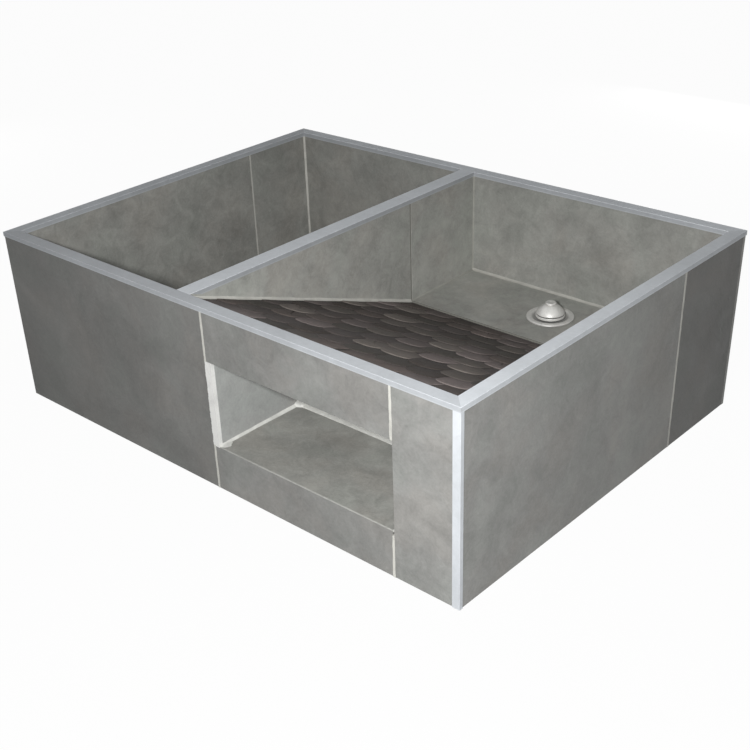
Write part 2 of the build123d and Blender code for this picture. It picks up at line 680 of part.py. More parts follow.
HALF_WIDTH = WIDTH / 2
HALF_DEPTH = DEPTH / 2
WASHBOARD_GAP = (HALF_WIDTH + LEFT_BASIN_END, WIDTH - RIM + TRIM_SHEET)
PARTITION_GAP = (HALF_WIDTH - RIGHT_BASIN_START, HALF_WIDTH - LEFT_BASIN_END)
rim("rim_front", (-HALF_WIDTH, -HALF_DEPTH, HEIGHT), (1, 0, 0), (0, 1, 0), WIDTH, WASHBOARD_GAP)
rim("rim_back", (HALF_WIDTH, HALF_DEPTH, HEIGHT), (-1, 0, 0), (0, -1, 0), WIDTH, PARTITION_GAP)
rim("rim_left", (-HALF_WIDTH, HALF_DEPTH, HEIGHT), (0, -1, 0), (1, 0, 0), DEPTH)
rim(
    "rim_right",
    (HALF_WIDTH, -HALF_DEPTH, HEIGHT),
    (0, 1, 0),
    (-1, 0, 0),
    DEPTH,
    (RIM - TRIM_SHEET, HALF_DEPTH + LEG_START),
)

with BuildPart() as rim_partition:
    partition_edge = (PARTITION_X - PARTITION_RIM / 2, RIM_INNER_Y, HEIGHT)
    with BuildSketch(Plane(origin=partition_edge, x_dir=(1, 0, 0), z_dir=(0, -1, 0))):
        rim_section(PARTITION_RIM)
    extrude(amount=2 * RIM_INNER_Y)
    fillet(rim_partition.edges().filter_by(Axis.Y).group_by(Axis.Z)[-1], TRIM_BEND)
    leg_gap = LEG_START + RIM_INNER_Y
    with BuildSketch(Plane.XY.offset(WALL_TOP)):
        with Locations(
            (PARTITION_X + (PARTITION_RIM - TRIM_SHEET) / 2, -RIM_INNER_Y + leg_gap / 2)
        ):
            Rectangle(TRIM_SHEET, leg_gap)
    extrude(amount=-TRIM_LEG, mode=Mode.SUBTRACT)
write(rim_partition, "rim_partition")

with BuildPart() as corner_profile:
    with BuildSketch():
        with BuildLine():
            Polyline(
                (HALF_WIDTH - CORNER_FRONT_LEG, -HALF_DEPTH),
                (HALF_WIDTH, -HALF_DEPTH),
                (HALF_WIDTH, -HALF_DEPTH + CORNER_SIDE_LEG),
                (FACE_X, -HALF_DEPTH + CORNER_SIDE_LEG),
                (FACE_X, -FACE_Y),
                (HALF_WIDTH - CORNER_FRONT_LEG, -FACE_Y),
                close=True,
            )
        make_face()
    extrude(amount=LEG_FOOT)
    fillet(corner_profile.edges().filter_by(Axis.Z).sort_by(Axis((0, 0, 0), (1, -1, 0)))[-1], TRIM_BEND)
write(corner_profile, "corner_profile")

# Drains and plugs. Their sections are drawn as radius and height over the basin's floor.


def turned(place, section):
    """Turns a closed section, drawn by section(), about the upright axis of a drain."""
    with BuildSketch(Plane(origin=place, x_dir=(1, 0, 0), z_dir=(0, -1, 0))) as half:
        with BuildLine():
            section()
        make_face()
    revolve(half.sketch, axis=Axis(place, (0, 0, 1)))


def drain_section():
    """Flange with a bevelled lip, flat seat, ledge for the strainer, cup, and threaded tail."""
    lip_inner = FLANGE_RADIUS - FLANGE_LIP
    ledge_radius = CUP_RADIUS - STRAINER_LEDGE
    Polyline(
        (FLANGE_RADIUS, 0),
        (FLANGE_RADIUS, FLANGE_THICKNESS - LIP_BEVEL),
        (FLANGE_RADIUS - LIP_BEVEL, FLANGE_THICKNESS),
        (lip_inner, FLANGE_THICKNESS),
        (RECESS_RADIUS, SEAT_TOP),
        (CUP_RADIUS, SEAT_TOP),
        (CUP_RADIUS, -STRAINER_DEPTH),
        (ledge_radius, -STRAINER_DEPTH),
        (ledge_radius, CUP_FLOOR - BARREL_LENGTH),
        (TAIL_BORE, CUP_FLOOR - BARREL_LENGTH),
        (TAIL_BORE, -DRAIN_DROP),
        (TAIL_RADIUS, -DRAIN_DROP),
        (TAIL_RADIUS, -BARREL_LENGTH),
        (BARREL_RADIUS, -BARREL_LENGTH),
        (BARREL_RADIUS, 0),
        close=True,
    )


def dome_points(foot, crown):
    """Ends of the dome's bands, from its foot up, on a circle centred on the drain's axis."""
    foot_reach = DOME_RADIUS**2 + foot**2
    crown_reach = CROWN_RADIUS**2 + crown**2
    middle = (foot_reach - crown_reach) / (2 * (foot - crown))
    curve = math.hypot(DOME_RADIUS, foot - middle)
    foot_angle = math.atan2(foot - middle, DOME_RADIUS)
    crown_angle = math.atan2(crown - middle, CROWN_RADIUS)
    for band in range(DOME_BANDS + 1):
        angle = foot_angle + (crown_angle - foot_angle) * band / DOME_BANDS
        yield curve * math.cos(angle), middle + curve * math.sin(angle)


def dome(place):
    """The plug's cap: an upright lip and the flat-sided bands over it."""
    foot = DOME_RIM_Z + DOME_LIP
    rings = [(DOME_RADIUS, DOME_RIM_Z), *dome_points(foot, foot + DOME_RISE)]
    for (radius, height), (next_radius, next_height) in zip(rings, rings[1:]):
        with BuildSketch(Plane.XY.offset(place[2] + height)) as level:
            with Locations((place[0], place[1])):
                RegularPolygon(radius, DOME_SIDES)
        rise = next_height - height
        lean = math.atan((radius - next_radius) * math.cos(math.pi / DOME_SIDES) / rise)
        extrude(level.sketch, amount=rise, taper=math.degrees(lean))


def plug_section():
    """Stem, neck through the dome, and a flat knob with a dimple."""
    knob_under = DOME_RIM_Z + DOME_LIP + DOME_RISE + KNOB_NECK
    knob_top = knob_under + KNOB_THICKNESS
    Polyline(
        (0, -STEM_REACH),
        (STEM_RADIUS, -STEM_REACH),
        (STEM_RADIUS, DOME_RIM_Z),
        (NECK_RADIUS, DOME_RIM_Z),
        (NECK_RADIUS, knob_under),
        (KNOB_RADIUS, knob_under),
        (KNOB_RADIUS, knob_top),
        (DIMPLE_RADIUS, knob_top),
        (DIMPLE_RADIUS, knob_top - DIMPLE_DEPTH),
        (0, knob_top - DIMPLE_DEPTH),
        close=True,
    )


def seal_section():
    """Thick rubber ring between the dome and the seat, with the seal's gap under it."""
    Polyline(
        (STEM_RADIUS, DOME_RIM_Z),
        (SEAL_RADIUS, DOME_RIM_Z),
        (SEAL_RADIUS, SEAT_TOP + SEAL_GAP),
        (STEM_RADIUS, SEAT_TOP + SEAL_GAP),
        close=True,
    )


with BuildPart() as drain_bodies:
    for place in DRAINS.values():
        turned(place, drain_section)
write(drain_bodies, "drain_bodies")

for basin, place in DRAINS.items():
    with BuildPart() as plug:
        turned(place, plug_section)
        dome(place)
    write(plug, f"{basin}_plug")
    with BuildPart() as plug_seal:
        turned(place, seal_section)
    write(plug_seal, f"{basin}_plug_seal")

with BuildPart() as drain_strainers:
    for drain_x, drain_y, floor in DRAINS.values():
        bar_length = 2 * (CUP_RADIUS - THREAD_GAP)
        with BuildSketch(Plane.XY.offset(floor - STRAINER_DEPTH)):
            with Locations((drain_x, drain_y)):
                Rectangle(bar_length, STRAINER_BAR)
                Rectangle(STRAINER_BAR, bar_length)
                Circle(STRAINER_HUB)
                Circle(STEM_RADIUS + STEM_GAP, mode=Mode.SUBTRACT)
        extrude(amount=STRAINER_THICKNESS)
write(drain_strainers, "drain_strainers")

with BuildPart() as drain_gaskets:
    for drain_x, drain_y, floor in DRAINS.values():
        with BuildSketch(Plane.XY.offset(floor - NUT_TOP)):
            with Locations((drain_x, drain_y)):
                Circle(GASKET_RADIUS)
                Circle(BARREL_RADIUS + THREAD_GAP, mode=Mode.SUBTRACT)
        extrude(amount=GASKET_THICKNESS)
write(drain_gaskets, "drain_gaskets")

with BuildPart() as drain_lock_nuts:
    for drain_x, drain_y, floor in DRAINS.values():
        with BuildSketch(Plane.XY.offset(floor - NUT_TOP - NUT_HEIGHT)):
            with Locations((drain_x, drain_y)):
                RegularPolygon(NUT_ACROSS_FLATS / 2, 8, major_radius=False)
                Circle(BARREL_RADIUS + THREAD_GAP, mode=Mode.SUBTRACT)
        extrude(amount=NUT_HEIGHT)
write(drain_lock_nuts, "drain_lock_nuts")
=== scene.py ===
import math
import random

import bmesh
import bpy
from bpy.props import FloatProperty, FloatVectorProperty, IntProperty, PointerProperty
from mathutils import Euler, Matrix, Vector, noise


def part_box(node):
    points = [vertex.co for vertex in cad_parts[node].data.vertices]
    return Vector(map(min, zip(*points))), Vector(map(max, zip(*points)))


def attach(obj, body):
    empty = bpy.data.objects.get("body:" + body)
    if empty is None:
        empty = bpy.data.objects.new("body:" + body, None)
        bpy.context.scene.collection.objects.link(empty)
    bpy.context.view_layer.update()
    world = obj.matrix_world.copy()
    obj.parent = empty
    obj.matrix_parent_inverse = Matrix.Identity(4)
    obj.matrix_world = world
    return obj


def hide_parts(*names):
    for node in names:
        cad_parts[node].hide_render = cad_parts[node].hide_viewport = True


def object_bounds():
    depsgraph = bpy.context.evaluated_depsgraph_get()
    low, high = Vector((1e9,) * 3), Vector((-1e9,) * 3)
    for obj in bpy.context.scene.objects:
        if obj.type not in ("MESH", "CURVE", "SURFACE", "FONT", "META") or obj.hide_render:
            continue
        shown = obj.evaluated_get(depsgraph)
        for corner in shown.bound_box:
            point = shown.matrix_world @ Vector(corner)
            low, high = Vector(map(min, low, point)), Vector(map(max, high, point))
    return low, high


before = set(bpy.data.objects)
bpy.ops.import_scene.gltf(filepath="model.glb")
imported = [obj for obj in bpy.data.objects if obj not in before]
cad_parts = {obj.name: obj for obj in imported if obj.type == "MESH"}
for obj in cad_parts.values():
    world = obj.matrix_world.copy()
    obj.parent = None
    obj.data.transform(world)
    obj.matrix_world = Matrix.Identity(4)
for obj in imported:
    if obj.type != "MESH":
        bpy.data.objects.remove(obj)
CAD_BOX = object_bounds()

bl_info = {
    "name": "Laundry sink finishes",
    "version": (1, 0, 0),
    "blender": (4, 5, 0),
    "location": "3D View > Sidebar > Laundry sink",
    "description": "Gives a tiled laundry sink its tiles, trims, grout, washboard and drains",
    "category": "Object",
}

# Places on the sink, in metres, read from its solids
X, Y, Z = 0, 1, 2


def low(node, axis):
    """Lowest coordinate of a node along an axis."""
    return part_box(node)[0][axis]


def high(node, axis):
    """Highest coordinate of a node along an axis."""
    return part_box(node)[1][axis]


FRONT = low("front_large_tile", Y)
RIGHT = high("right_side_front_tile", X)
LEFT = low("left_side_front_tile", X)
BACK = high("back_left_tile", Y)
WALL_TOP = high("front_large_tile", Z)
RIM_TOP = CAD_BOX[1][Z]
LEG_FOOT = low("rim_front", Z)
SHEET = 0.001  # thickness of the metal profiles
TILE = high("front_large_tile", Y) - FRONT

BASIN_FRONT = high("left_basin_front_tile", Y)
BASIN_BACK = low("left_basin_back_tile", Y)
LEFT_WALL = high("left_basin_side_front_tile", X)
SPINE_LEFT = low("left_basin_partition_front_tile", X)
LEFT_FLOOR = low("left_basin_side_front_tile", Z)
SPINE_RIGHT = high("right_basin_partition_front_tile", X)
RIGHT_WALL = low("right_basin_side_front_tile", X)
RIGHT_FLOOR = high("right_basin_floor_tile", Z)
FOOT = low("right_basin_floor_tile", Y)

NICHE_LEFT = high("niche_left_tile", X)
NICHE_RIGHT = low("niche_right_tile", X)
NICHE_FLOOR = high("niche_floor_tile", Z)
NICHE_TOP = low("niche_ceiling_tile", Z)
NICHE_BACK = low("niche_back_tile", Y)
SILL_TOP = high("front_sill_tile", Z)
SILL_LEFT = low("front_sill_tile", X)
SILL_RIGHT = high("front_sill_tile", X)

SLOPE_FOOT = high("washboard", Y)
SLOPE_HEAD = low("washboard", Y)
SLOPE_RISE = high("washboard", Z) - RIGHT_FLOOR
SLOPE_ANGLE = math.atan2(SLOPE_RISE, SLOPE_FOOT - SLOPE_HEAD)
SLOPE_LENGTH = math.hypot(SLOPE_RISE, SLOPE_FOOT - SLOPE_HEAD)


def tone(*values):
    """A colour given as screen values up to 255, in the linear values that Blender works in."""
    shares = [value / 255 for value in values]
    return tuple(
        share / 12.92 if share <= 0.04045 else ((share + 0.055) / 1.055) ** 2.4 for share in shares
    )


def shade(colour, share):
    """A colour made lighter or darker by a share."""
    return tuple(min(1.0, part * share) for part in colour)


def stray(seed, along, size):
    """A smooth wander between about -1 and 1, with waves of about size."""
    return noise.noise(Vector((along / size, 7.31 * seed, 1.7)))


def length(name, description, default):
    """A length setting."""
    return FloatProperty(name=name, description=description, default=default, unit="LENGTH")


def share(name, description, default):
    """A setting between 0 and 1."""
    return FloatProperty(name=name, description=description, default=default, subtype="FACTOR")


def colour(name, description, default):
    """A colour setting."""
    return FloatVectorProperty(
        name=name, description=description, default=default, subtype="COLOR", size=3
    )


def shader_node(tree, kind, inputs=None, **settings):
    """A new node with its settings, and its inputs as values or as outputs to link."""
    made = tree.nodes.new(kind)
    for name, value in settings.items():
        setattr(made, name, value)
    for name, value in (inputs or {}).items():
        if isinstance(value, bpy.types.NodeSocket):
            tree.links.new(value, made.inputs[name])
        else:
            made.inputs[name].default_value = value
    return made


class Recipe:
    """Builds the nodes of one procedural material."""

    def __init__(self, name, shift=(0.0, 0.0, 0.0), turn=(0.0, 0.0, 0.0)):
        self.material = bpy.data.materials.new(name)
        self.material.use_nodes = True
        self.tree = self.material.node_tree
        self.surface = self.tree.nodes["Principled BSDF"]
        self.place = self.add("ShaderNodeTexCoord").outputs["Object"]
        self.here = self.mapped(shift, turn)

    def add(self, kind, inputs=None, **settings):
        """A node of this material."""
        return shader_node(self.tree, kind, inputs, **settings)

    def mapped(self, shift=(0.0, 0.0, 0.0), turn=(0.0, 0.0, 0.0), stretch=(1.0, 1.0, 1.0)):
        """The piece's own coordinates, shifted, turned and stretched."""
        inputs = {"Vector": self.place, "Location": shift, "Rotation": turn, "Scale": stretch}
        return self.add("ShaderNodeMapping", inputs).outputs["Vector"]

    def height(self):
        """Height over the surface that the sink stands on."""
        return self.add("ShaderNodeSeparateXYZ", {"Vector": self.place}).outputs["Z"]

    def cloud(self, size, detail=3.0, rough=0.5, warp=0.0, at=None):
        """Noise with patches of about size, from 0 to 1."""
        inputs = {
            "Vector": at or self.here, "Scale": 1 / size, "Detail": detail,
            "Roughness": rough, "Distortion": warp,
        }
        return self.add("ShaderNodeTexNoise", inputs).outputs["Fac"]

    def spread(self, value, least, most, start=0.3, end=0.7):
        """A value's range from start to end, spread from least to most and held there."""
        inputs = {"Value": value, "From Min": start, "From Max": end, "To Min": least, "To Max": most}
        return self.add("ShaderNodeMapRange", inputs).outputs["Result"]

    def sums(self, first, second, way="ADD"):
        """Two values put together."""
        made = self.add("ShaderNodeMath", {0: first, 1: second}, operation=way)
        return made.outputs["Value"]

    def times(self, first, second):
        """Two colours multiplied."""
        inputs = {0: 1.0, 6: first, 7: second}
        made = self.add("ShaderNodeMix", inputs, data_type="RGBA", blend_type="MULTIPLY")
        return made.outputs[2]

    def steps(self, value, *stops):
        """A colour ramp with (place, colour) stops."""
        made = self.add("ShaderNodeValToRGB", {"Fac": value})
        ramp = made.color_ramp
        while len(ramp.elements) < len(stops):
            ramp.elements.new(0.5)
        for element, (place, paint) in zip(ramp.elements, stops):
            element.position = place
            element.color = (*paint, 1.0)
        return made.outputs["Color"]

    def between(self, value, paint, *stops):
        """A ramp through shades of one colour, with (place, share) stops."""
        return self.steps(value, *((place, shade(paint, part)) for place, part in stops))

    def relief(self, height, depth, strength):
        """Bump of the given depth."""
        inputs = {"Height": height, "Distance": depth, "Strength": strength}
        return self.add("ShaderNodeBump", inputs).outputs["Normal"]

    def finish(self, **inputs):
        """Sets or links the shader's inputs and returns the material."""
        for name, value in inputs.items():
            socket = self.surface.inputs[name.replace("_", " ")]
            if isinstance(value, bpy.types.NodeSocket):
                self.tree.links.new(value, socket)
            else:
                socket.default_value = value
        return self.material


def dress(node, material):
    """Gives a carried-over node a material in all its slots."""
    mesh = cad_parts[node].data
    if not mesh.materials:
        mesh.materials.append(material)
    for index in range(len(mesh.materials)):
        mesh.materials[index] = material


def made_piece(name, bm, material, stands_for=(), body="root", smooth=None):
    """Turns a mesh under construction into a piece that rides on a body."""
    bmesh.ops.recalc_face_normals(bm, faces=bm.faces)
    mesh = bpy.data.meshes.new(name)
    bm.to_mesh(mesh)
    bm.free()
    mesh.materials.append(material)
    if smooth is not None:
        mesh.shade_smooth()
        mesh.set_sharp_from_angle(angle=smooth)
    piece = bpy.data.objects.new(name, mesh)
    bpy.context.scene.collection.objects.link(piece)
    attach(piece, body)
    if stands_for:
        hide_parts(*stands_for)
    return piece


def raised(bm, cap, run):
    """Extrudes a face along run into a closed block. Returns the vertices of the far end."""
    grown = bmesh.ops.extrude_face_region(bm, geom=[cap], use_keep_orig=True)["geom"]
    end = [part for part in grown if isinstance(part, bmesh.types.BMVert)]
    bmesh.ops.translate(bm, verts=end, vec=run)
    return end


def prism(corners, run, cuts):
    """A closed outline, extruded along run and cut into stretches, as a mesh of its own."""
    part = bmesh.new()
    cap = part.faces.new([part.verts.new(corner) for corner in corners])
    end = set(raised(part, cap, run))
    rails = {
        edge for vert in end for edge in vert.link_edges if edge.other_vert(vert) not in end
    }
    bmesh.ops.subdivide_edges(part, edges=list(rails), cuts=cuts)
    return part


def join(bm, part, material=0):
    """Adds a finished part to the mesh under construction, with one of its materials."""
    for side in part.faces:
        side.material_index = material
    carrier = bpy.data.meshes.new("carrier")
    part.to_mesh(carrier)
    part.free()
    bm.from_mesh(carrier)
    bpy.data.meshes.remove(carrier)


# Tiles


class TileSettings(bpy.types.PropertyGroup):
    """Looks of the cement-grey tiles."""

    outer: colour("Outer tone", "Tone of the outer tiles", tone(144, 144, 141))
    basin: colour("Basin tone", "Tone of the basin tiles", tone(151, 151, 146))
    niche: colour("Niche tone", "Tone of the niche's smooth left wall", tone(156, 157, 155))
    cloud: length("Cloud size", "Size of the broad clouds", 0.15)
    mottle: length("Mottle size", "Size of the mottles", 0.032)
    speckle: length("Speckle size", "Size of the fine speckle", 0.004)
    contrast: share("Contrast", "Strength of the clouds, mottles and scuffs", 0.6)
    roughness: share("Roughness", "Roughness of the glaze", 0.62)


def cement(settings, name, base, seed, contrast):
    """Matt cement-look glaze: broad clouds, mottles, scuffs, speckle and drifting tints."""
    draw = random.Random(seed)
    shift = tuple(draw.uniform(-5, 5) for axis in range(3))
    turn = tuple(draw.uniform(-0.3, 0.3) for axis in range(3))
    recipe = Recipe(name, shift, turn)
    strength = settings.contrast * contrast
    broad = recipe.cloud(settings.cloud, 4.0, 0.55, 0.8)
    mottle = recipe.cloud(settings.mottle, 5.0, 0.62, 1.2)
    speckle = recipe.cloud(settings.speckle, 2.0, 0.6)
    scuff = recipe.cloud(settings.mottle * 0.3, 4.0, 0.7, 2.0)
    light = recipe.spread(broad, 1 - 0.28 * strength, 1 + 0.28 * strength)
    for pattern, depth in ((mottle, 0.22 * strength), (scuff, 0.1 * strength), (speckle, 0.05)):
        light = recipe.sums(light, recipe.spread(pattern, -depth, depth))
    drift = recipe.cloud(settings.cloud * 0.7, 3.0, 0.5, 0.5, recipe.mapped(shift[::-1]))
    warm, cool = (
        tuple(part * tint for part, tint in zip(base, tints))
        for tints in ((1.015, 0.995, 0.985), (0.985, 1.003, 0.995))
    )
    paint = recipe.steps(drift, (0.36, warm), (0.5, base), (0.64, cool))
    grain = recipe.sums(recipe.sums(mottle, speckle), scuff)
    return recipe.finish(
        Base_Color=recipe.times(paint, light),
        Roughness=recipe.spread(mottle, settings.roughness - 0.08, settings.roughness + 0.12),
        Specular_IOR_Level=0.35,
        Normal=recipe.relief(grain, 0.0004, 0.5),
    )


# Tone of each tile against the setting that it starts from: partly the tile's own tone, partly painted
# light and shade, with faces set darker or lighter by how light falls on them, such as the large front
# tile and the back tile of the right side
TILE_TONE_AND_PAINTED_LIGHT = {
    "front_large": 0.6,
    "front_lintel": 0.76,
    "front_sill": 0.79,
    "front_pilaster": 0.86,
    "right_side_front": 0.9,
    "right_side_back": 0.53,
    "left_side_front": 0.96,
    "left_side_back": 0.88,
    "back_left": 0.95,
    "back_right": 1.02,
    "left_basin_side_front": 0.98,
    "left_basin_side_back": 0.95,
    "left_basin_back": 0.9,
    "left_basin_front": 0.9,
    "left_basin_partition_front": 0.9,
    "left_basin_partition_back": 0.86,
    "left_basin_floor_front": 0.86,
    "left_basin_floor_back": 0.82,
    "right_basin_partition_front": 1.08,
    "right_basin_partition_back": 1.1,
    "right_basin_back": 0.87,
    "right_basin_side_front": 1.0,
    "right_basin_side_back": 0.96,
    "right_basin_floor": 1.13,
    "niche_floor": 0.95,
    "niche_left": 1.0,
    "niche_right": 0.95,
    "niche_back": 0.98,
    "niche_ceiling": 0.9,
}


class SINK_OT_tiles(bpy.types.Operator):
    """Give every tile its own cement-look glaze"""

    bl_idname = "sink.tiles"
    bl_label = "Tiles"

    def execute(self, context):
        settings = context.scene.sink_tiles
        for seed, (name, level) in enumerate(TILE_TONE_AND_PAINTED_LIGHT.items()):
            node = f"{name}_tile"
            start, contrast = settings.outer, 1.0
            if "basin" in name or "niche" in name:
                start = settings.basin
            if name == "niche_left":
                start, contrast = settings.niche, 0.7
            # The level holds painted light and shade as well as the tile's own tone
            base = shade(start, level)
            dress(node, cement(settings, f"glaze_{node}", base, seed, contrast))
        return {"FINISHED"}


# Mortar


class MortarSettings(bpy.types.PropertyGroup):
    """Looks of the mortar behind and under the tiles."""

    paint: colour("Tone", "Tone of the mortar", tone(150, 147, 140))
    grain: length("Grain size", "Size of the sand grains", 0.003)


class SINK_OT_mortar(bpy.types.Operator):
    """Give the cores, beds and casing a sandy mortar"""

    bl_idname = "sink.mortar"
    bl_label = "Mortar"

    def execute(self, context):
        settings = context.scene.sink_mortar
        recipe = Recipe("sandy_mortar")
        patch = recipe.cloud(0.08, 4.0, 0.6, 0.6)
        sand = recipe.cloud(settings.grain, 2.0, 0.7)
        trowel = recipe.cloud(0.03, 3.0, 0.6, 1.0, recipe.mapped(stretch=(0.3, 1.0, 1.0)))
        paint = recipe.between(patch, settings.paint, (0.35, 0.78), (0.65, 1.15))
        mortar = recipe.finish(
            Base_Color=recipe.times(paint, recipe.spread(sand, 0.82, 1.12)),
            Roughness=0.95,
            Normal=recipe.relief(recipe.sums(sand, trowel), 0.0015, 0.8),
        )
        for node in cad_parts:
            if node.endswith(("_core", "_bed")) or node == "niche_casing":
                dress(node, mortar)
        return {"FINISHED"}


# Metal profiles


class TrimSettings(bpy.types.PropertyGroup):
    """Looks of the metal profiles."""

    paint: colour("Tone", "Tone of the anodised sheet", tone(202, 206, 210))
    roughness: share("Roughness", "Roughness of the sheet", 0.55)
    # Painted highlight: how much lighter the band along the legs' lower edge is than the legs
    lip: FloatProperty(name="Lip", description="Tone of the legs' lips against them", default=1.15)


def anodised(settings, name, stretch, level, leg):
    """Satin sheet with faint draw lines along it, handling marks and dull patches, with painted shade
    on its downturned legs and a painted highlight along their lower edge.
    """
    recipe = Recipe(name)
    lines = recipe.cloud(0.0012, 3.0, 0.6, 0.0, recipe.mapped(stretch=stretch))
    patch = recipe.cloud(0.12, 4.0, 0.6, 0.4)
    dust = recipe.cloud(0.012, 4.0, 0.65, 1.0)
    paint = recipe.between(patch, settings.paint, (0.35, 0.92 * level), (0.65, 1.05 * level))
    paint = recipe.times(paint, recipe.spread(dust, 0.94, 1.04))
    # Painted shade and highlight by height: legs darkened by leg, a lighter band along their lower
    # edge, the top as it is
    height = recipe.spread(recipe.height(), 0.0, 1.0, LEG_FOOT, RIM_TOP)
    lip = settings.lip * leg
    stops = ((0.0, lip), (0.14, lip), (0.26, leg), (0.88, leg), (0.99, 1.0))
    paint = recipe.times(paint, recipe.between(height, (1.0, 1.0, 1.0), *stops))
    rough = recipe.sums(
        recipe.spread(lines, settings.roughness - 0.05, settings.roughness + 0.06),
        recipe.spread(dust, -0.05, 0.08),
    )
    return recipe.finish(
        Base_Color=paint,
        Metallic=0.06,
        Roughness=rough,
        Specular_IOR_Level=0.2,
        Normal=recipe.relief(lines, 0.00005, 0.4),
    )


ALONG_X, ALONG_Y, ALONG_Z = (0.01, 1.0, 1.0), (1.0, 0.01, 1.0), (1.0, 1.0, 0.01)

# Stretch of each profile's draw lines, its tone against the setting (partly its own tone, partly
# painted light and shade by how light falls on each profile), and that of its downturned legs against
# its top, which is painted shade
TRIM_TONE_AND_PAINTED_LIGHT = {
    "rim_front": (ALONG_X, 0.91, 0.7),
    "rim_back": (ALONG_X, 1.25, 0.54),
    "rim_left": (ALONG_Y, 1.03, 0.66),
    "rim_right": (ALONG_Y, 1.12, 0.76),
    "rim_partition": (ALONG_Y, 1.3, 0.48),
    "corner_profile": (ALONG_Z, 1.04, 0.76),
}


class SINK_OT_trims(bpy.types.Operator):
    """Give the metal profiles their satin sheet, and the inner legs their tapered ends"""

    bl_idname = "sink.trims"
    bl_label = "Metal profiles"

    def execute(self, context):
        settings = context.scene.sink_trims
        for node, (stretch, level, leg) in TRIM_TONE_AND_PAINTED_LIGHT.items():
            dress(node, anodised(settings, f"satin_{node}", stretch, level, leg))
        self.leg_ends()
        return {"FINISHED"}

    def leg_ends(self):
        """The tapered ends of the inner legs, cut along the washboard's slope."""
        under = RIM_TOP - SHEET
        near = 1e-5
        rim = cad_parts["rim_partition"]
        spots = [rim.matrix_world @ vert.co for vert in rim.data.vertices]
        start = min(
            spot.y for spot in spots if spot.x > SPINE_RIGHT - near and spot.z < LEG_FOOT + near
        )
        tip = start - (under - LEG_FOOT) / math.tan(SLOPE_ANGLE)
        bm = bmesh.new()
        for x in (SPINE_RIGHT, RIGHT_WALL - SHEET):
            corners = [(x, start, LEG_FOOT), (x, start, under), (x, tip, under)]
            join(bm, prism(corners, Vector((SHEET, 0, 0)), 1))
        made_piece("rim_leg_ends", bm, rim.data.materials[0])


# Washboard

TINTS = 9  # tints that the scales draw from
EDGE_TONES = (0.8, 0.95, 1.2)  # of the scales' sides and bevelled edges, darker than most scales, against the darkest slate
SCALE_THICKNESS = 0.005
SCALE_EDGE = 0.0022  # bevel round a scale's face


class WashboardSettings(bpy.types.PropertyGroup):
    """Sizes and looks of the washboard's scales."""

    columns: IntProperty(name="Columns", description="Scales across the board", default=9)
    rows: IntProperty(name="Rows", description="Rows of scales up the board", default=11)
    margin: length("Margin", "Border round the field that columns and rows divide", 0.006)
    relief: length("Relief", "Rise of the scales' upper edges", 0.0024)
    lap: length("Lap", "Part of a scale under the one below it", 0.02)
    bow: length("Bow", "How far the upper edge bows uphill", 0.032)
    dark: colour("Dark tone", "Darkest slate", tone(59, 55, 52))
    pale: colour("Pale tone", "Palest slate", tone(123, 115, 111))


def on_slope(across, up, off=0.0):
    """A place on the washboard: across it, up from its foot, and off its crests."""
    base = Vector((across, SLOPE_FOOT, RIGHT_FLOOR))
    uphill = Vector((0, -math.cos(SLOPE_ANGLE), math.sin(SLOPE_ANGLE)))
    away = Vector((0, math.sin(SLOPE_ANGLE), math.cos(SLOPE_ANGLE)))
    return base + uphill * up + away * off


def slate_scale(settings, draw, middle, start, width, reach, lift):
    """One scale: a bowed outline with chipped edges, extruded, bevelled and tipped uphill."""
    bm = bmesh.new()
    layer = bm.faces.layers.int.new("tint")
    own = bm.verts.layers.float.new("rise")
    verts = bmesh.ops.create_circle(bm, cap_ends=True, radius=1.0, segments=28)["verts"]
    chip = draw.uniform(0, 50)
    for vert in verts:
        turn = math.atan2(vert.co.y, vert.co.x)
        across, along = math.cos(turn), math.sin(turn)
        up = max(0.0, along) ** 0.9
        rise = 0.0 if vert.co.y < 0 else min(1.0, 1.7 * up)
        wear = 1 + 0.05 * noise.noise(Vector((chip + 2 * across, 2 * along, chip)))
        vert.co.x = math.copysign(abs(across) ** 0.8, across) * width / 2 * wear
        vert.co.y = (reach - settings.bow) * rise + settings.bow * up * wear
    top = set(raised(bm, verts[0].link_faces[0], (0, 0, SCALE_THICKNESS)))
    rim = {edge for vert in top for edge in vert.link_edges if edge.other_vert(vert) in top}
    bmesh.ops.bevel(
        bm, geom=list(rim), offset=SCALE_EDGE, segments=3, profile=0.5, affect="EDGES", material=-1
    )
    bm.normal_update()
    # How far up the scale each point lies, which the slate uses for painted shade near its lower edge
    for vert in bm.verts:
        vert[own] = vert.co.y / reach
    tint = draw.randrange(TINTS)
    edge = TINTS + draw.randrange(len(EDGE_TONES))
    for face in bm.faces:
        face[layer] = tint if face.normal.z > 0.5 else edge
    roll = draw.uniform(-0.016, 0.016)
    place = (
        Matrix.Translation(on_slope(middle, start, -settings.relief))
        @ Matrix.Rotation(math.pi, 4, "Z")
        @ Matrix.Rotation(SLOPE_ANGLE + math.atan2(lift, reach), 4, "X")
        @ Matrix.Rotation(roll, 4, "Y")
        @ Matrix.Translation((0, 0, -SCALE_THICKNESS))
    )
    bmesh.ops.transform(bm, matrix=place, verts=bm.verts)
    return bm


def trimmed(bm, edges):
    """Cuts a scale at the field's edges, given as points and outward directions, and closes it."""
    for point, outward in edges:
        geom = bm.verts[:] + bm.edges[:] + bm.faces[:]
        cut = bmesh.ops.bisect_plane(
            bm, geom=geom, dist=1e-6, plane_co=point, plane_no=outward, clear_outer=True
        )["geom_cut"]
        rims = [part for part in cut if isinstance(part, bmesh.types.BMEdge)]
        if rims:
            bmesh.ops.holes_fill(bm, edges=rims, sides=0)
    return bm


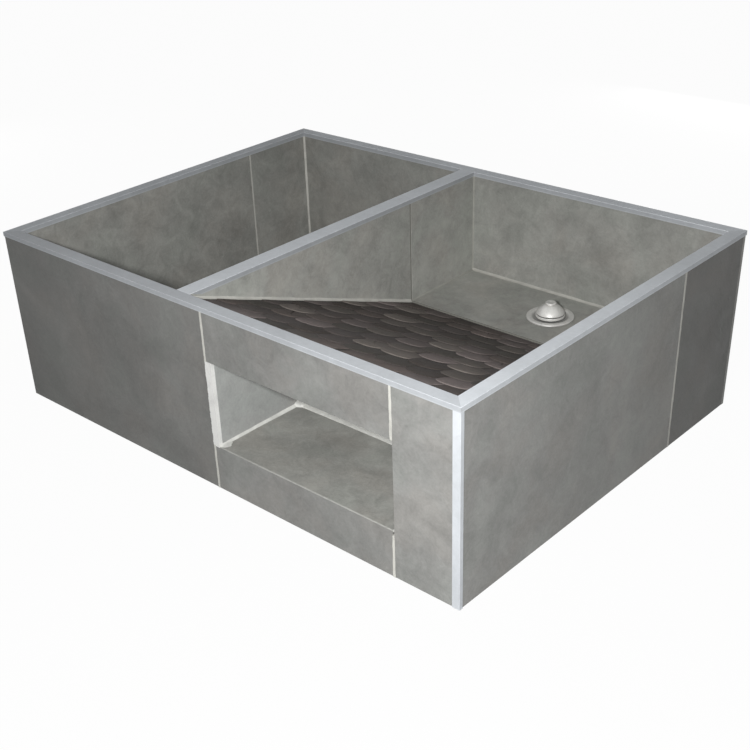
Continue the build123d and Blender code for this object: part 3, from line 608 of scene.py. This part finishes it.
def slate():
    """Dark slate with layers and a tint for each scale, paler towards its upper edge, with painted
    shade darkening its lower part in the crease at the foot of the raised edge below it.
    """
    recipe = Recipe("dark_slate")
    streak = recipe.cloud(0.014, 4.0, 0.55, 1.0, recipe.mapped(stretch=(0.35, 1.0, 1.0)))
    patch = recipe.cloud(0.03, 4.0, 0.6, 1.4)
    grain = recipe.cloud(0.0016, 2.0, 0.7)
    own = recipe.add("ShaderNodeAttribute", attribute_name="scale_tint").outputs["Color"]
    rise = recipe.add("ShaderNodeAttribute", attribute_name="rise").outputs["Fac"]
    light = recipe.spread(streak, 0.86, 1.14)
    light = recipe.sums(light, recipe.spread(patch, -0.24, 0.24))
    light = recipe.sums(light, recipe.spread(grain, -0.06, 0.06))
    # Painted shade: darker towards each scale's lower edge, in the crease below the raised edge of the
    # scale under it
    light = recipe.sums(light, recipe.spread(rise, 0.68, 1.07, 0.25, 1.0), "MULTIPLY")
    return recipe.finish(
        Base_Color=recipe.times(own, light),
        Roughness=recipe.spread(patch, 0.6, 0.8),
        Specular_IOR_Level=0.2,
        Normal=recipe.relief(recipe.sums(streak, grain), 0.0008, 0.6),
    )


class SINK_OT_washboard(bpy.types.Operator):
    """Lay the washboard's slate scales on their slab"""

    bl_idname = "sink.washboard"
    bl_label = "Washboard"

    def execute(self, context):
        settings = context.scene.sink_washboard
        draw = random.Random(11)
        width = RIGHT_WALL - SPINE_RIGHT - 2 * settings.margin
        middle = (RIGHT_WALL + SPINE_RIGHT) / 2
        row_step = (SLOPE_LENGTH - 2 * settings.margin) / settings.rows
        column_step = width / settings.columns
        keep = settings.margin * 0.75
        uphill = on_slope(0, 1) - on_slope(0, 0)
        edges = (
            (Vector((SPINE_RIGHT + keep, 0, 0)), Vector((-1, 0, 0))),
            (Vector((RIGHT_WALL - keep, 0, 0)), Vector((1, 0, 0))),
            (on_slope(0, keep), -uphill),
            (on_slope(0, SLOPE_LENGTH - keep), uphill),
        )
        bm = bmesh.new()
        bm.faces.layers.int.new("tint")
        bm.verts.layers.float.new("rise")
        for row in range(settings.rows):
            stagger = row % 2 / 2
            for column in range(settings.columns + row % 2):
                across = middle + (column + 0.5 - stagger - settings.columns / 2) * column_step
                across += draw.uniform(-0.004, 0.004)
                start = settings.margin + row * row_step - settings.lap
                reach = row_step + settings.lap + draw.uniform(-0.003, 0.003)
                lift = settings.relief * draw.uniform(0.5, 1.0)
                wide = column_step * draw.uniform(1.0, 1.14)
                scale = slate_scale(settings, draw, across, start, wide, reach, lift)
                join(bm, trimmed(scale, edges))
        slab = bmesh.ops.create_cube(bm, size=1.0)["verts"]
        bmesh.ops.scale(bm, verts=slab, vec=(RIGHT_WALL - SPINE_RIGHT, SLOPE_LENGTH, TILE - 0.0002))
        place = (
            Matrix.Translation(on_slope(middle, SLOPE_LENGTH / 2, -settings.relief - TILE / 2))
            @ Matrix.Rotation(-SLOPE_ANGLE, 4, "X")
        )
        bmesh.ops.transform(bm, matrix=place, verts=slab)
        own = bm.faces.layers.int["tint"]
        paints = []
        for step in range(TINTS):
            level = (step * 4 % TINTS / (TINTS - 1)) ** 1.4
            base = [a + (b - a) * level for a, b in zip(settings.dark, settings.pale)]
            lean = ((1.04, 0.985, 0.975), (0.99, 1.005, 0.98), (1.01, 0.985, 1.015))[step % 3]
            paints.append([part * tint for part, tint in zip(base, lean)])
        paints += [shade(settings.dark, level) for level in EDGE_TONES]
        chosen = [paints[face[own]] for face in bm.faces for corner in face.verts]
        piece = made_piece(
            "washboard_scales", bm, slate(), ("washboard",), smooth=0.6
        )
        layer = piece.data.color_attributes.new("scale_tint", "FLOAT_COLOR", "CORNER")
        for corner, paint in zip(layer.data, chosen):
            corner.color = (*paint, 1.0)
        return {"FINISHED"}


# Grout

WHITE, WORN = 1, 2  # places of the outer joints' other grouts, after the pale one


class GroutSettings(bpy.types.PropertyGroup):
    """Sizes and looks of the grout joints."""

    paint: colour("Tone", "Tone of the grout", tone(198, 197, 190))
    white: colour("White tone", "Tone of the niche's smoothed edge", tone(222, 222, 219))
    set_back: length("Set back", "How far the bars start behind the tile faces", 0.0003)
    spill: length("Spill", "How far the outer joints spill over the tiles", 0.0008)
    smear: length("Smear", "How far the jamb's grout strays over the large tile", 0.002)
    worn: colour("Worn tone", "Tone of the line along the niche's floor", tone(166, 166, 161))
    grey: colour("Grey tone", "Tone of the grout in the washboard's basin", tone(128, 127, 121))


def grout(name, tint):
    """Fine grout with sandy grain and grey dirt."""
    recipe = Recipe(name)
    dirt = recipe.cloud(0.04, 5.0, 0.6, 0.8)
    sand = recipe.cloud(0.0015, 2.0, 0.7)
    paint = recipe.between(dirt, tint, (0.3, 0.8), (0.55, 1.0))
    paint = recipe.times(paint, recipe.spread(sand, 0.94, 1.03))
    return recipe.finish(Base_Color=paint, Roughness=0.9, Normal=recipe.relief(sand, 0.0004, 0.6))


def joint(bm, settings, near, far, face, seed):
    """A grout bar between two corners whose visible face, a signed axis, spills unevenly."""
    axis, outward = face
    size = [b - a for a, b in zip(near, far)]
    run = max((i for i in range(3) if i != axis), key=lambda i: size[i])
    side = 3 - axis - run
    shown, hidden = (far, near) if outward > 0 else (near, far)
    corners = []
    for across, level in (
        (0.0, shown), (0.25, shown), (0.75, shown), (1.0, shown), (1.0, hidden), (0.0, hidden)
    ):
        spot = list(near)
        spot[side] += size[side] * across
        spot[axis] = level[axis]
        corners.append(spot)
    step = Vector((0, 0, 0))
    step[run] = size[run]
    part = prism(corners, step, max(2, round(size[run] / 0.004)))
    middle = near[side] + size[side] / 2
    proud = settings.set_back + 0.0002
    for vert in part.verts:
        if abs(vert.co[axis] - shown[axis]) < 1e-6:
            along = vert.co[run]
            edge = vert.co[side] > middle
            vert.co[axis] += outward * (proud + 0.0001 * stray(seed, along, 0.02))
            push = settings.spill * (0.8 + stray(seed + (3 if edge else 5), along, 0.014))
            push += settings.spill * 0.5 * stray(seed + (4 if edge else 6), along, 0.005)
            if abs(vert.co[side] - middle) > size[side] * 0.4:
                vert.co[side] += max(0.0, push) if edge else -max(0.0, push)
    join(bm, part)


class SINK_OT_grout(bpy.types.Operator):
    """Fill the joints between the tiles and smooth the niche's jamb"""

    bl_idname = "sink.grout"
    bl_label = "Grout"

    def execute(self, context):
        settings = context.scene.sink_grout
        material = grout("pale_grout", settings.paint)
        large = high("front_large_tile", X)
        rear = FRONT + TILE
        back = settings.set_back
        face = FRONT + back
        side_near, side_far = high("right_side_front_tile", Y), low("right_side_back_tile", Y)
        back_near, back_far = high("back_left_tile", X), low("back_right_tile", X)
        bm = bmesh.new()
        for near, far, toward, seed in (
            ((large, face, NICHE_TOP - 0.001), (SILL_LEFT, rear, WALL_TOP), (Y, -1), 1),
            ((large, face, 0), (SILL_LEFT, rear, NICHE_FLOOR), (Y, -1), 2),
            ((SILL_RIGHT, face, 0), (NICHE_RIGHT, rear, SILL_TOP - TILE), (Y, -1), 4),
            ((SILL_RIGHT, face, NICHE_TOP), (NICHE_RIGHT, rear, WALL_TOP), (Y, -1), 5),
            ((RIGHT - TILE, side_near, 0), (RIGHT - back, side_far, WALL_TOP), (X, 1), 6),
            ((LEFT + back, side_near, 0), (LEFT + TILE, side_far, WALL_TOP), (X, -1), 7),
            ((back_near, BACK - TILE, 0), (back_far, BACK - back, WALL_TOP), (Y, 1), 8),
        ):
            joint(bm, settings, near, far, toward, seed)
        self.jamb(bm, settings, large, rear)
        self.mitre(bm, settings, rear)
        joints = made_piece("outer_joints", bm, material, ("outer_grout",))
        joints.data.materials.append(grout("white_grout", settings.white))
        joints.data.materials.append(grout("worn_grout", settings.worn))
        dress("left_basin_grout", material)
        dress("right_basin_grout", grout("grey_grout", settings.grey))
        return {"FINISHED"}

    def mitre(self, bm, settings, rear):
        """The line of grout along the mitred edge of the niche's floor, worn down in places."""
        gap = NICHE_FLOOR - SILL_TOP
        back = settings.set_back
        outline = (
            (FRONT + back, SILL_TOP - back),
            (FRONT + gap / 2, NICHE_FLOOR - gap / 2),
            (FRONT + gap + back, NICHE_FLOOR - back),
            (rear + gap, NICHE_FLOOR - TILE),
            (rear, NICHE_FLOOR - TILE),
            (rear, SILL_TOP - TILE),
        )
        corners = [(NICHE_LEFT, y, z) for y, z in outline]
        part = prism(corners, Vector((NICHE_RIGHT - NICHE_LEFT, 0, 0)), 120)
        inward = Vector((0, 1, -1)).normalized()
        for vert in part.verts:
            if vert.co.y < rear - 0.001:
                worn = 0.4 + 1.4 * stray(15, vert.co.x, 0.04) + 0.6 * stray(16, vert.co.x, 0.007)
                vert.co += inward * gap * max(0.0, worn)
        join(bm, part, WORN)

    def jamb(self, bm, settings, large, rear):
        """The niche's left edge, its grout dragged unevenly over the large tile."""
        front = FRONT - 0.0002
        middle = large + (NICHE_LEFT - large) / 2
        outline = (
            (large, front), (middle, front), (NICHE_LEFT, front), (NICHE_LEFT, rear), (large, rear)
        )
        rise = NICHE_TOP - SILL_TOP
        part = prism([(x, y, SILL_TOP) for x, y in outline], Vector((0, 0, rise)), 90)
        for vert in part.verts:
            if vert.co.x < large + 1e-6 and vert.co.y < rear - 1e-6:
                up = (vert.co.z - SILL_TOP) / rise
                teeth = noise.cell(Vector((vert.co.z / 0.004, 0, 3)))
                drag = 0.4 * teeth + 0.4 * stray(9, vert.co.z, 0.02) + 0.5 * (1 - up)
                vert.co.x -= settings.smear * max(0.0, drag)
        join(bm, part, WHITE)


# Caulk

DULL, GREY = 1, 2  # places of the right basin's other sealants, after the pale one


class CaulkSettings(bpy.types.PropertyGroup):
    """Sizes and looks of the caulk beads."""

    paint: colour("Tone", "Tone of the sealant", tone(194, 193, 186))
    dull: colour("Dull tone", "Tone of the soiled bead at the back", tone(174, 173, 166))
    grey: colour("Grey tone", "Tone of the beads at the floor's ends and corners", tone(150, 150, 143))
    fresh: colour("Fresh tone", "Tone of the beads in the niche", tone(214, 214, 209))
    basin_leg: length("Basin bead", "Width of the beads in the basins", 0.003)
    niche_leg: length("Niche bead", "Width of the beads in the niche", 0.005)
    hollow: share("Hollow", "How far the finger-smoothed face is hollowed", 0.5)


def caulk(name, tint):
    """Hand-smoothed sealant with a soft sheen and grey smudges."""
    recipe = Recipe(name)
    smudge = recipe.cloud(0.03, 4.0, 0.6, 0.8)
    ripple = recipe.cloud(0.004, 2.0, 0.5)
    return recipe.finish(
        Base_Color=recipe.between(smudge, tint, (0.32, 0.8), (0.58, 1.0)),
        Roughness=recipe.spread(smudge, 0.5, 0.7),
        Normal=recipe.relief(ripple, 0.0005, 0.5),
    )


def bead(bm, settings, corner, run, wall, other, legs, seed, material=0):
    """A bead along an inner edge, from corner along run, that spreads over two faces."""
    wall, other = Vector(wall), Vector(other)
    corner, run = Vector(corner), Vector(run)
    ahead = run.normalized()
    steps = 5
    outline = [corner]
    for step in range(steps + 1):
        turn = math.pi / 2 * step / steps
        chord = Vector((1 - step / steps, step / steps))
        arc = Vector((1 - math.sin(turn), 1 - math.cos(turn)))
        spot = chord.lerp(arc, settings.hollow)
        outline.append(corner + wall * spot.x * legs[0] + other * spot.y * legs[0])
    grow = legs[1] / legs[0] - 1
    part = prism(outline, run, max(2, round(run.length / 0.006)))
    for vert in part.verts:
        offset = vert.co - corner
        along = offset.dot(ahead)
        swell = 1 + grow * along / run.length
        on_wall = offset.dot(wall) * swell * (1 + 0.22 * stray(seed, along, 0.035))
        on_other = offset.dot(other) * swell * (1 + 0.22 * stray(seed + 1, along, 0.03))
        vert.co = corner + ahead * along + wall * on_wall + other * on_other
    join(bm, part, material)


def smear(bm, place, size, seed):
    """A flattened dab of sealant about a corner, with an uneven outline."""
    part = bmesh.new()
    bmesh.ops.create_icosphere(part, subdivisions=3, radius=1.0)
    for vert in part.verts:
        vert.co *= 1 + 0.35 * noise.noise(vert.co * 1.6 + Vector((seed, 0, 0)))
    bmesh.ops.scale(part, vec=size, verts=part.verts)
    bmesh.ops.translate(part, vec=place, verts=part.verts)
    join(bm, part)


class SINK_OT_caulk(bpy.types.Operator):
    """Run the caulk beads along the inner edges of the basins and the niche"""

    bl_idname = "sink.caulk"
    bl_label = "Caulk"

    def execute(self, context):
        settings = context.scene.sink_caulk
        material = caulk("pale_sealant", settings.paint)
        leg = settings.basin_leg
        east, west, north, south, up = (1, 0, 0), (-1, 0, 0), (0, 1, 0), (0, -1, 0), (0, 0, 1)
        across = Vector((SPINE_LEFT - LEFT_WALL, 0, 0))
        deep = Vector((0, BASIN_BACK - BASIN_FRONT, 0))
        tall = Vector((0, 0, LEG_FOOT - LEFT_FLOOR))
        bm = bmesh.new()
        legs = (leg, leg)
        bead(bm, settings, (LEFT_WALL, BASIN_FRONT, LEFT_FLOOR), across, north, up, legs, 21)
        bead(bm, settings, (LEFT_WALL, BASIN_BACK, LEFT_FLOOR), across, south, up, legs, 23)
        bead(bm, settings, (LEFT_WALL, BASIN_FRONT, LEFT_FLOOR), deep, east, up, legs, 25)
        bead(bm, settings, (SPINE_LEFT, BASIN_FRONT, LEFT_FLOOR), deep, west, up, legs, 27)
        for seed, (x, to_x) in enumerate(((LEFT_WALL, east), (SPINE_LEFT, west))):
            bead(bm, settings, (x, BASIN_FRONT, LEFT_FLOOR), tall, to_x, north, legs, 31 + seed)
            bead(bm, settings, (x, BASIN_BACK, LEFT_FLOOR), tall, to_x, south, legs, 35 + seed)
        made_piece("left_basin_beads", bm, material, ("left_basin_caulk",), smooth=0.7)

        bm = bmesh.new()
        tall = Vector((0, 0, LEG_FOOT - RIGHT_FLOOR))
        flat = Vector((0, BASIN_BACK - FOOT, 0))
        slope = on_slope(0, 0) - on_slope(0, SLOPE_LENGTH)
        off = on_slope(0, 0, 1.0) - on_slope(0, 0)
        back = Vector((RIGHT_WALL - SPINE_RIGHT, 0, 0))
        wide, thin, growing = (
            (leg * start, leg * end) for start, end in ((1.3, 1.2), (0.9, 0.6), (1.3, 1.5))
        )
        rear = (SPINE_RIGHT, BASIN_BACK, RIGHT_FLOOR)
        bead(bm, settings, rear, back, south, up, wide, 41, DULL)
        for seed, (x, to_x) in enumerate(((SPINE_RIGHT, east), (RIGHT_WALL, west))):
            bead(bm, settings, (x, FOOT, RIGHT_FLOOR), flat, to_x, up, legs, 43 + seed, GREY)
            rear = (x, BASIN_BACK, RIGHT_FLOOR)
            bead(bm, settings, rear, tall, to_x, south, thin, 46 + seed, GREY)
            top = on_slope(x, SLOPE_LENGTH - 0.0015, -0.002)
            bead(bm, settings, top, slope * 0.995, to_x, off, growing, 51 + seed)
        beads = made_piece(
            "right_basin_beads", bm, material, ("right_basin_caulk",), smooth=0.7
        )
        beads.data.materials.append(caulk("dull_sealant", settings.dull))
        beads.data.materials.append(caulk("grey_sealant", settings.grey))

        bm = bmesh.new()
        leg = settings.niche_leg
        legs, wide = (leg * 0.65, leg * 0.9), (leg * 1.6, leg * 1.1)
        mouth = FRONT + 0.0012
        inward = Vector((0, NICHE_BACK - mouth, 0))
        width = Vector((NICHE_RIGHT - NICHE_LEFT, 0, 0))
        rear = (NICHE_LEFT, NICHE_BACK, NICHE_FLOOR)
        bead(bm, settings, (NICHE_LEFT, mouth, NICHE_FLOOR), inward, east, up, legs, 61)
        bead(bm, settings, (NICHE_RIGHT, mouth, NICHE_FLOOR), inward, west, up, legs, 63)
        bead(bm, settings, rear, width, south, up, wide, 65)
        smear(bm, rear, (0.016, 0.014, 0.01), 71)
        smear(bm, (NICHE_LEFT, FRONT + 0.012, NICHE_FLOOR), (0.011, 0.011, 0.0011), 72)
        fresh = caulk("fresh_sealant", settings.fresh)
        made_piece("niche_beads", bm, fresh, ("niche_caulk",), smooth=0.7)
        return {"FINISHED"}


# Drains


class DrainSettings(bpy.types.PropertyGroup):
    """Sizes and looks of the drains and their plugs."""

    paint: colour("Tone", "Tone of the steel", tone(222, 221, 217))
    roughness: share("Roughness", "Roughness of the steel", 0.42)
    steps: IntProperty(name="Steps", description="Steps round a turned piece", default=96)


def steel(settings, name, darkened=False):
    """Satin steel with fine turning lines and water marks, with painted shade below the flange's lip.
    """
    recipe = Recipe(name)
    fine = recipe.cloud(0.0008, 3.0, 0.6)
    mark = recipe.cloud(0.01, 4.0, 0.6, 1.0)
    paint = recipe.between(mark, settings.paint, (0.35, 0.85), (0.65, 1.0))
    if darkened:
        # Painted shade: the steel is darkened to half below the flange's lip, in the recess under the
        # plug's dome and down the drain, on both floors
        above = recipe.sums(recipe.height(), LEFT_FLOOR - 0.01, "SUBTRACT")
        above = recipe.sums(above, RIGHT_FLOOR - LEFT_FLOOR, "MODULO")
        paint = recipe.times(paint, recipe.spread(above, 0.5, 1.0, 0.0112, 0.0134))
    rough = recipe.sums(
        recipe.spread(mark, settings.roughness + 0.1, settings.roughness - 0.05),
        recipe.spread(fine, -0.04, 0.04),
    )
    return recipe.finish(
        Base_Color=paint, Metallic=0.25, Roughness=rough, Normal=recipe.relief(fine, 0.00003, 0.4)
    )


def rubber():
    """Matt black rubber with a dusty bloom."""
    recipe = Recipe("black_rubber")
    bloom = recipe.cloud(0.008, 4.0, 0.6, 0.5)
    pores = recipe.cloud(0.0007, 2.0, 0.6)
    paint = recipe.steps(bloom, (0.35, (0.012, 0.012, 0.012)), (0.7, (0.045, 0.044, 0.042)))
    return recipe.finish(
        Base_Color=paint,
        Roughness=recipe.spread(bloom, 0.6, 0.85),
        Normal=recipe.relief(pores, 0.0001, 0.5),
    )


def turned(settings, place, outline, rounding):
    """Turns a closed outline of radii and heights about an upright axis and rounds its edges."""
    bm = bmesh.new()
    verts = [bm.verts.new((radius, 0, height)) for radius, height in outline]
    edges = [bm.edges.new(pair) for pair in zip(verts, verts[1:] + verts[:1])]
    for edge in edges:
        if all(vert.co.x < 1e-7 for vert in edge.verts):
            bm.edges.remove(edge)
    bmesh.ops.spin(
        bm, geom=verts + [edge for edge in edges if edge.is_valid], cent=(0, 0, 0),
        axis=(0, 0, 1), angle=2 * math.pi, steps=settings.steps, use_merge=True,
    )
    bmesh.ops.remove_doubles(bm, verts=bm.verts, dist=1e-6)
    bmesh.ops.recalc_face_normals(bm, faces=bm.faces)
    sharp_angle, smallest = 0.45, 0.002
    sharp = [
        edge for edge in bm.edges
        if len(edge.link_faces) == 2 and edge.calc_face_angle(0) > sharp_angle
        and abs(edge.verts[0].co.z - edge.verts[1].co.z) < 1e-7
        and math.hypot(*edge.verts[0].co.xy) > smallest
    ]
    bmesh.ops.bevel(
        bm, geom=sharp, offset=rounding, segments=3, profile=0.5, affect="EDGES", material=-1,
        clamp_overlap=True,
    )
    bmesh.ops.translate(bm, verts=bm.verts, vec=place)
    return bm


def hoop(inner, outer, foot, top):
    """Outline of a ring, by its radii and heights."""
    return [(inner, top), (outer, top), (outer, foot), (inner, foot)]


class SINK_OT_drains(bpy.types.Operator):
    """Turn the drains, their plugs and seals"""

    bl_idname = "sink.drains"
    bl_label = "Drains and plugs"

    def execute(self, context):
        settings = context.scene.sink_drains
        metal = steel(settings, "satin_steel")
        black = rubber()
        bodies = bmesh.new()
        for side, floor in (("left", LEFT_FLOOR), ("right", RIGHT_FLOOR)):
            node = f"{side}_plug"
            middle = [(low(node, axis) + high(node, axis)) / 2 for axis in (X, Y)]
            centre = (*middle, floor)
            join(bodies, turned(settings, centre, self.body_outline(), 0.0009))
            dome = turned(settings, centre, self.plug_outline(), 0.0006)
            join(dome, turned(settings, centre, hoop(0.0242, 0.0262, 0.003, 0.0076), 0.0007))
            made_piece(f"{node}_dome", dome, metal, (node,), node, smooth=0.7)
            ring = turned(settings, centre, hoop(0.004, 0.0244, 0.0013, 0.009), 0.0006)
            made_piece(
                f"{node}_ring", ring, black, (f"{node}_seal",), node, smooth=0.7
            )
        # The drain bodies, with painted shade below the flange's lip
        darkened = steel(settings, "soiled_steel", darkened=True)
        made_piece("drain_pair", bodies, darkened, ("drain_bodies",), smooth=0.7)
        dress("drain_strainers", metal)
        dress("drain_lock_nuts", metal)
        dress("drain_gaskets", black)
        return {"FINISHED"}

    def body_outline(self):
        """Flange with a rounded lip, dished ring, seat, cup and threaded tail."""
        flange = (high("drain_bodies", Y) - low("drain_bodies", Y)) / 2
        foot = low("drain_bodies", Z) - LEFT_FLOOR
        lip, corner = 0.0035, 0.0015
        return [
            (flange, 0.0), (flange, lip - corner), (flange - corner, lip),
            (flange - 0.009, lip), (0.0295, 0.001), (0.0225, 0.001),
            (0.0225, -0.012), (0.0205, -0.012), (0.0205, -0.036), (0.0165, -0.036),
            (0.0165, foot), (0.02095, foot), (0.02095, -0.04), (0.0285, -0.04), (0.0285, 0.0),
        ]

    def plug_outline(self):
        """Dome with a rolled lip, a flat knob with a dimple and a stem."""
        outline = [(0.0, -0.016), (0.004, -0.016), (0.004, 0.009), (0.0252, 0.009)]
        middle, curve, steps = -0.0021, 0.0282, 12
        start = math.atan2(0.0106 - middle, 0.0252)
        end = math.atan2(0.0251 - middle, 0.0075)
        for step in range(steps + 1):
            turn = start + (end - start) * step / steps
            outline.append((curve * math.cos(turn), middle + curve * math.sin(turn)))
        return outline + [
            (0.0075, 0.0261), (0.0098, 0.0264), (0.0101, 0.028), (0.0088, 0.0291),
            (0.005, 0.0293), (0.004, 0.0289), (0.0, 0.0288),
        ]


# Stage


class StageSettings(bpy.types.PropertyGroup):
    """Camera, light and floor."""

    camera_place: FloatVectorProperty(
        name="Camera place", description="Where the camera stands", size=3,
        default=(1.2895, -1.3868, 1.0389), subtype="TRANSLATION",
    )
    camera_turn: FloatVectorProperty(
        name="Camera turn", description="How the camera is turned", size=3, subtype="EULER",
        default=(math.radians(59.039), math.radians(2.548), math.radians(42.924)),
    )
    lens: FloatProperty(name="Lens", description="Focal length in mm", default=57.478)
    shift: FloatVectorProperty(
        name="Shift", description="Shift of the frame", size=2, default=(0.0438, 0.0928)
    )
    key_power: FloatProperty(
        name="Key power", description="Power of the main lamp", default=28.6, unit="POWER"
    )
    key_place: FloatVectorProperty(
        name="Key place", description="Where the main lamp hangs", size=3,
        default=(1.0, -1.25, 0.93), subtype="TRANSLATION",
    )
    key_size: length("Key size", "Width of the main lamp", 0.1)
    low_power: FloatProperty(
        name="Low power", description="Power of the low lamps behind and at the left",
        default=14.0, unit="POWER",
    )
    ambient: share("Ambient", "Strength of the even light from all round", 0.055)
    backdrop: share("Backdrop", "How white the floor looks, against its own shading", 0.97)


def seen_directly(tree):
    """1 for camera, glossy and transmission rays."""
    path = shader_node(tree, "ShaderNodeLightPath").outputs
    seen = path["Is Camera Ray"]
    for name in ("Is Glossy Ray", "Is Transmission Ray"):
        rays = {0: seen, 1: path[name]}
        seen = shader_node(tree, "ShaderNodeMath", rays, operation="MAXIMUM").outputs["Value"]
    return seen


class SINK_OT_stage(bpy.types.Operator):
    """Set up the floor, the backdrop, the lamps and the camera"""

    bl_idname = "sink.stage"
    bl_label = "Stage"

    def execute(self, context):
        scene = context.scene
        settings = scene.sink_stage
        self.floor(scene, settings)
        self.world(scene, settings)
        aim, wide = (0.2, -0.1, 0.15), settings.key_size
        self.lamp(scene, "key", settings.key_place, aim, settings.key_power, wide, wide)
        # Below the rims, so that they only light the faces turned away from the key
        power, level, tall = settings.low_power, 0.16, 0.24
        for name, spot, wide in (("behind", (0.0, 2.1), 1.4), ("beside", (-2.2, 0.0), 0.9)):
            self.lamp(scene, name, (*spot, level), (0.0, 0.0, level), power, wide, tall)
        eye = bpy.data.cameras.new("camera")
        eye.lens = settings.lens
        eye.sensor_width = 36.0
        eye.shift_x, eye.shift_y = settings.shift
        camera = bpy.data.objects.new("camera", eye)
        camera.location = settings.camera_place
        camera.rotation_euler = Euler(settings.camera_turn, "XYZ")
        scene.collection.objects.link(camera)
        scene.camera = camera
        scene.view_settings.view_transform = "Standard"
        return {"FINISHED"}

    def lamp(self, scene, name, place, target, power, width, height):
        """A soft lamp that hangs at a place and looks at a target."""
        light = bpy.data.lights.new(name, "AREA")
        light.energy = power
        light.shape = "RECTANGLE"
        light.size, light.size_y = width, height
        hung = bpy.data.objects.new(name, light)
        hung.location = place
        aim = Vector(target) - Vector(place)
        hung.rotation_euler = aim.to_track_quat("-Z", "Y").to_euler()
        hung.visible_camera = False
        scene.collection.objects.link(hung)

    def floor(self, scene, settings):
        """A wide pale floor that keeps the sink's shadow."""
        bm = bmesh.new()
        bmesh.ops.create_grid(bm, x_segments=1, y_segments=1, size=40.0)
        bmesh.ops.translate(bm, verts=bm.verts, vec=(0, 0, -0.0005))
        mesh = bpy.data.meshes.new("floor")
        bm.to_mesh(mesh)
        bm.free()
        recipe = Recipe("pale_floor")
        grain = recipe.cloud(0.4, 3.0, 0.5)
        paint = recipe.steps(grain, (0.4, tone(186, 186, 186)), (0.6, tone(190, 190, 190)))
        recipe.finish(Base_Color=paint, Roughness=0.9, Specular_IOR_Level=0.0)
        tree = recipe.tree
        glow = recipe.add("ShaderNodeEmission", {"Color": (1, 1, 1, 1), "Strength": 1.0})
        part = recipe.sums(seen_directly(tree), settings.backdrop, "MULTIPLY")
        both = {0: part, 1: recipe.surface.outputs[0], 2: glow.outputs[0]}
        mix = recipe.add("ShaderNodeMixShader", both)
        tree.links.new(mix.outputs[0], tree.nodes["Material Output"].inputs["Surface"])
        mesh.materials.append(recipe.material)
        floor = bpy.data.objects.new("floor", mesh)
        scene.collection.objects.link(floor)

    def world(self, scene, settings):
        """White behind the sink, and a dim even light from all round."""
        world = bpy.data.worlds.new("studio")
        scene.world = world
        world.use_nodes = True
        tree = world.node_tree
        soft = tree.nodes["Background"]
        soft.inputs["Color"].default_value = (0.97, 0.985, 1.0, 1.0)
        soft.inputs["Strength"].default_value = settings.ambient
        white = shader_node(tree, "ShaderNodeBackground", {"Color": (1, 1, 1, 1), "Strength": 1.0})
        both = {0: seen_directly(tree), 1: soft.outputs[0], 2: white.outputs[0]}
        mix = shader_node(tree, "ShaderNodeMixShader", both)
        tree.links.new(mix.outputs[0], tree.nodes["World Output"].inputs["Surface"])


SETTINGS = {
    "sink_tiles": TileSettings,
    "sink_mortar": MortarSettings,
    "sink_trims": TrimSettings,
    "sink_washboard": WashboardSettings,
    "sink_grout": GroutSettings,
    "sink_caulk": CaulkSettings,
    "sink_drains": DrainSettings,
    "sink_stage": StageSettings,
}
OPERATORS = (
    SINK_OT_stage,
    SINK_OT_tiles,
    SINK_OT_mortar,
    SINK_OT_trims,
    SINK_OT_washboard,
    SINK_OT_grout,
    SINK_OT_caulk,
    SINK_OT_drains,
)


class SINK_PT_panel(bpy.types.Panel):
    """Lists the sink's finishes"""

    bl_idname = "SINK_PT_panel"
    bl_label = "Laundry sink"
    bl_space_type = "VIEW_3D"
    bl_region_type = "UI"
    bl_category = "Laundry sink"

    def draw(self, context):
        for operator in OPERATORS:
            self.layout.operator(operator.bl_idname)


def register():
    for group in SETTINGS.values():
        bpy.utils.register_class(group)
    for name, group in SETTINGS.items():
        setattr(bpy.types.Scene, name, PointerProperty(type=group))
    for operator in OPERATORS:
        bpy.utils.register_class(operator)
    bpy.utils.register_class(SINK_PT_panel)


def unregister():
    bpy.utils.unregister_class(SINK_PT_panel)
    for operator in reversed(OPERATORS):
        bpy.utils.unregister_class(operator)
    for name, group in reversed(SETTINGS.items()):
        delattr(bpy.types.Scene, name)
        bpy.utils.unregister_class(group)


def main():
    """Registers the add-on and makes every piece."""
    register()
    for operator in OPERATORS:
        group, name = operator.bl_idname.split(".")
        getattr(getattr(bpy.ops, group), name)()


if __name__ == "__main__":
    main()
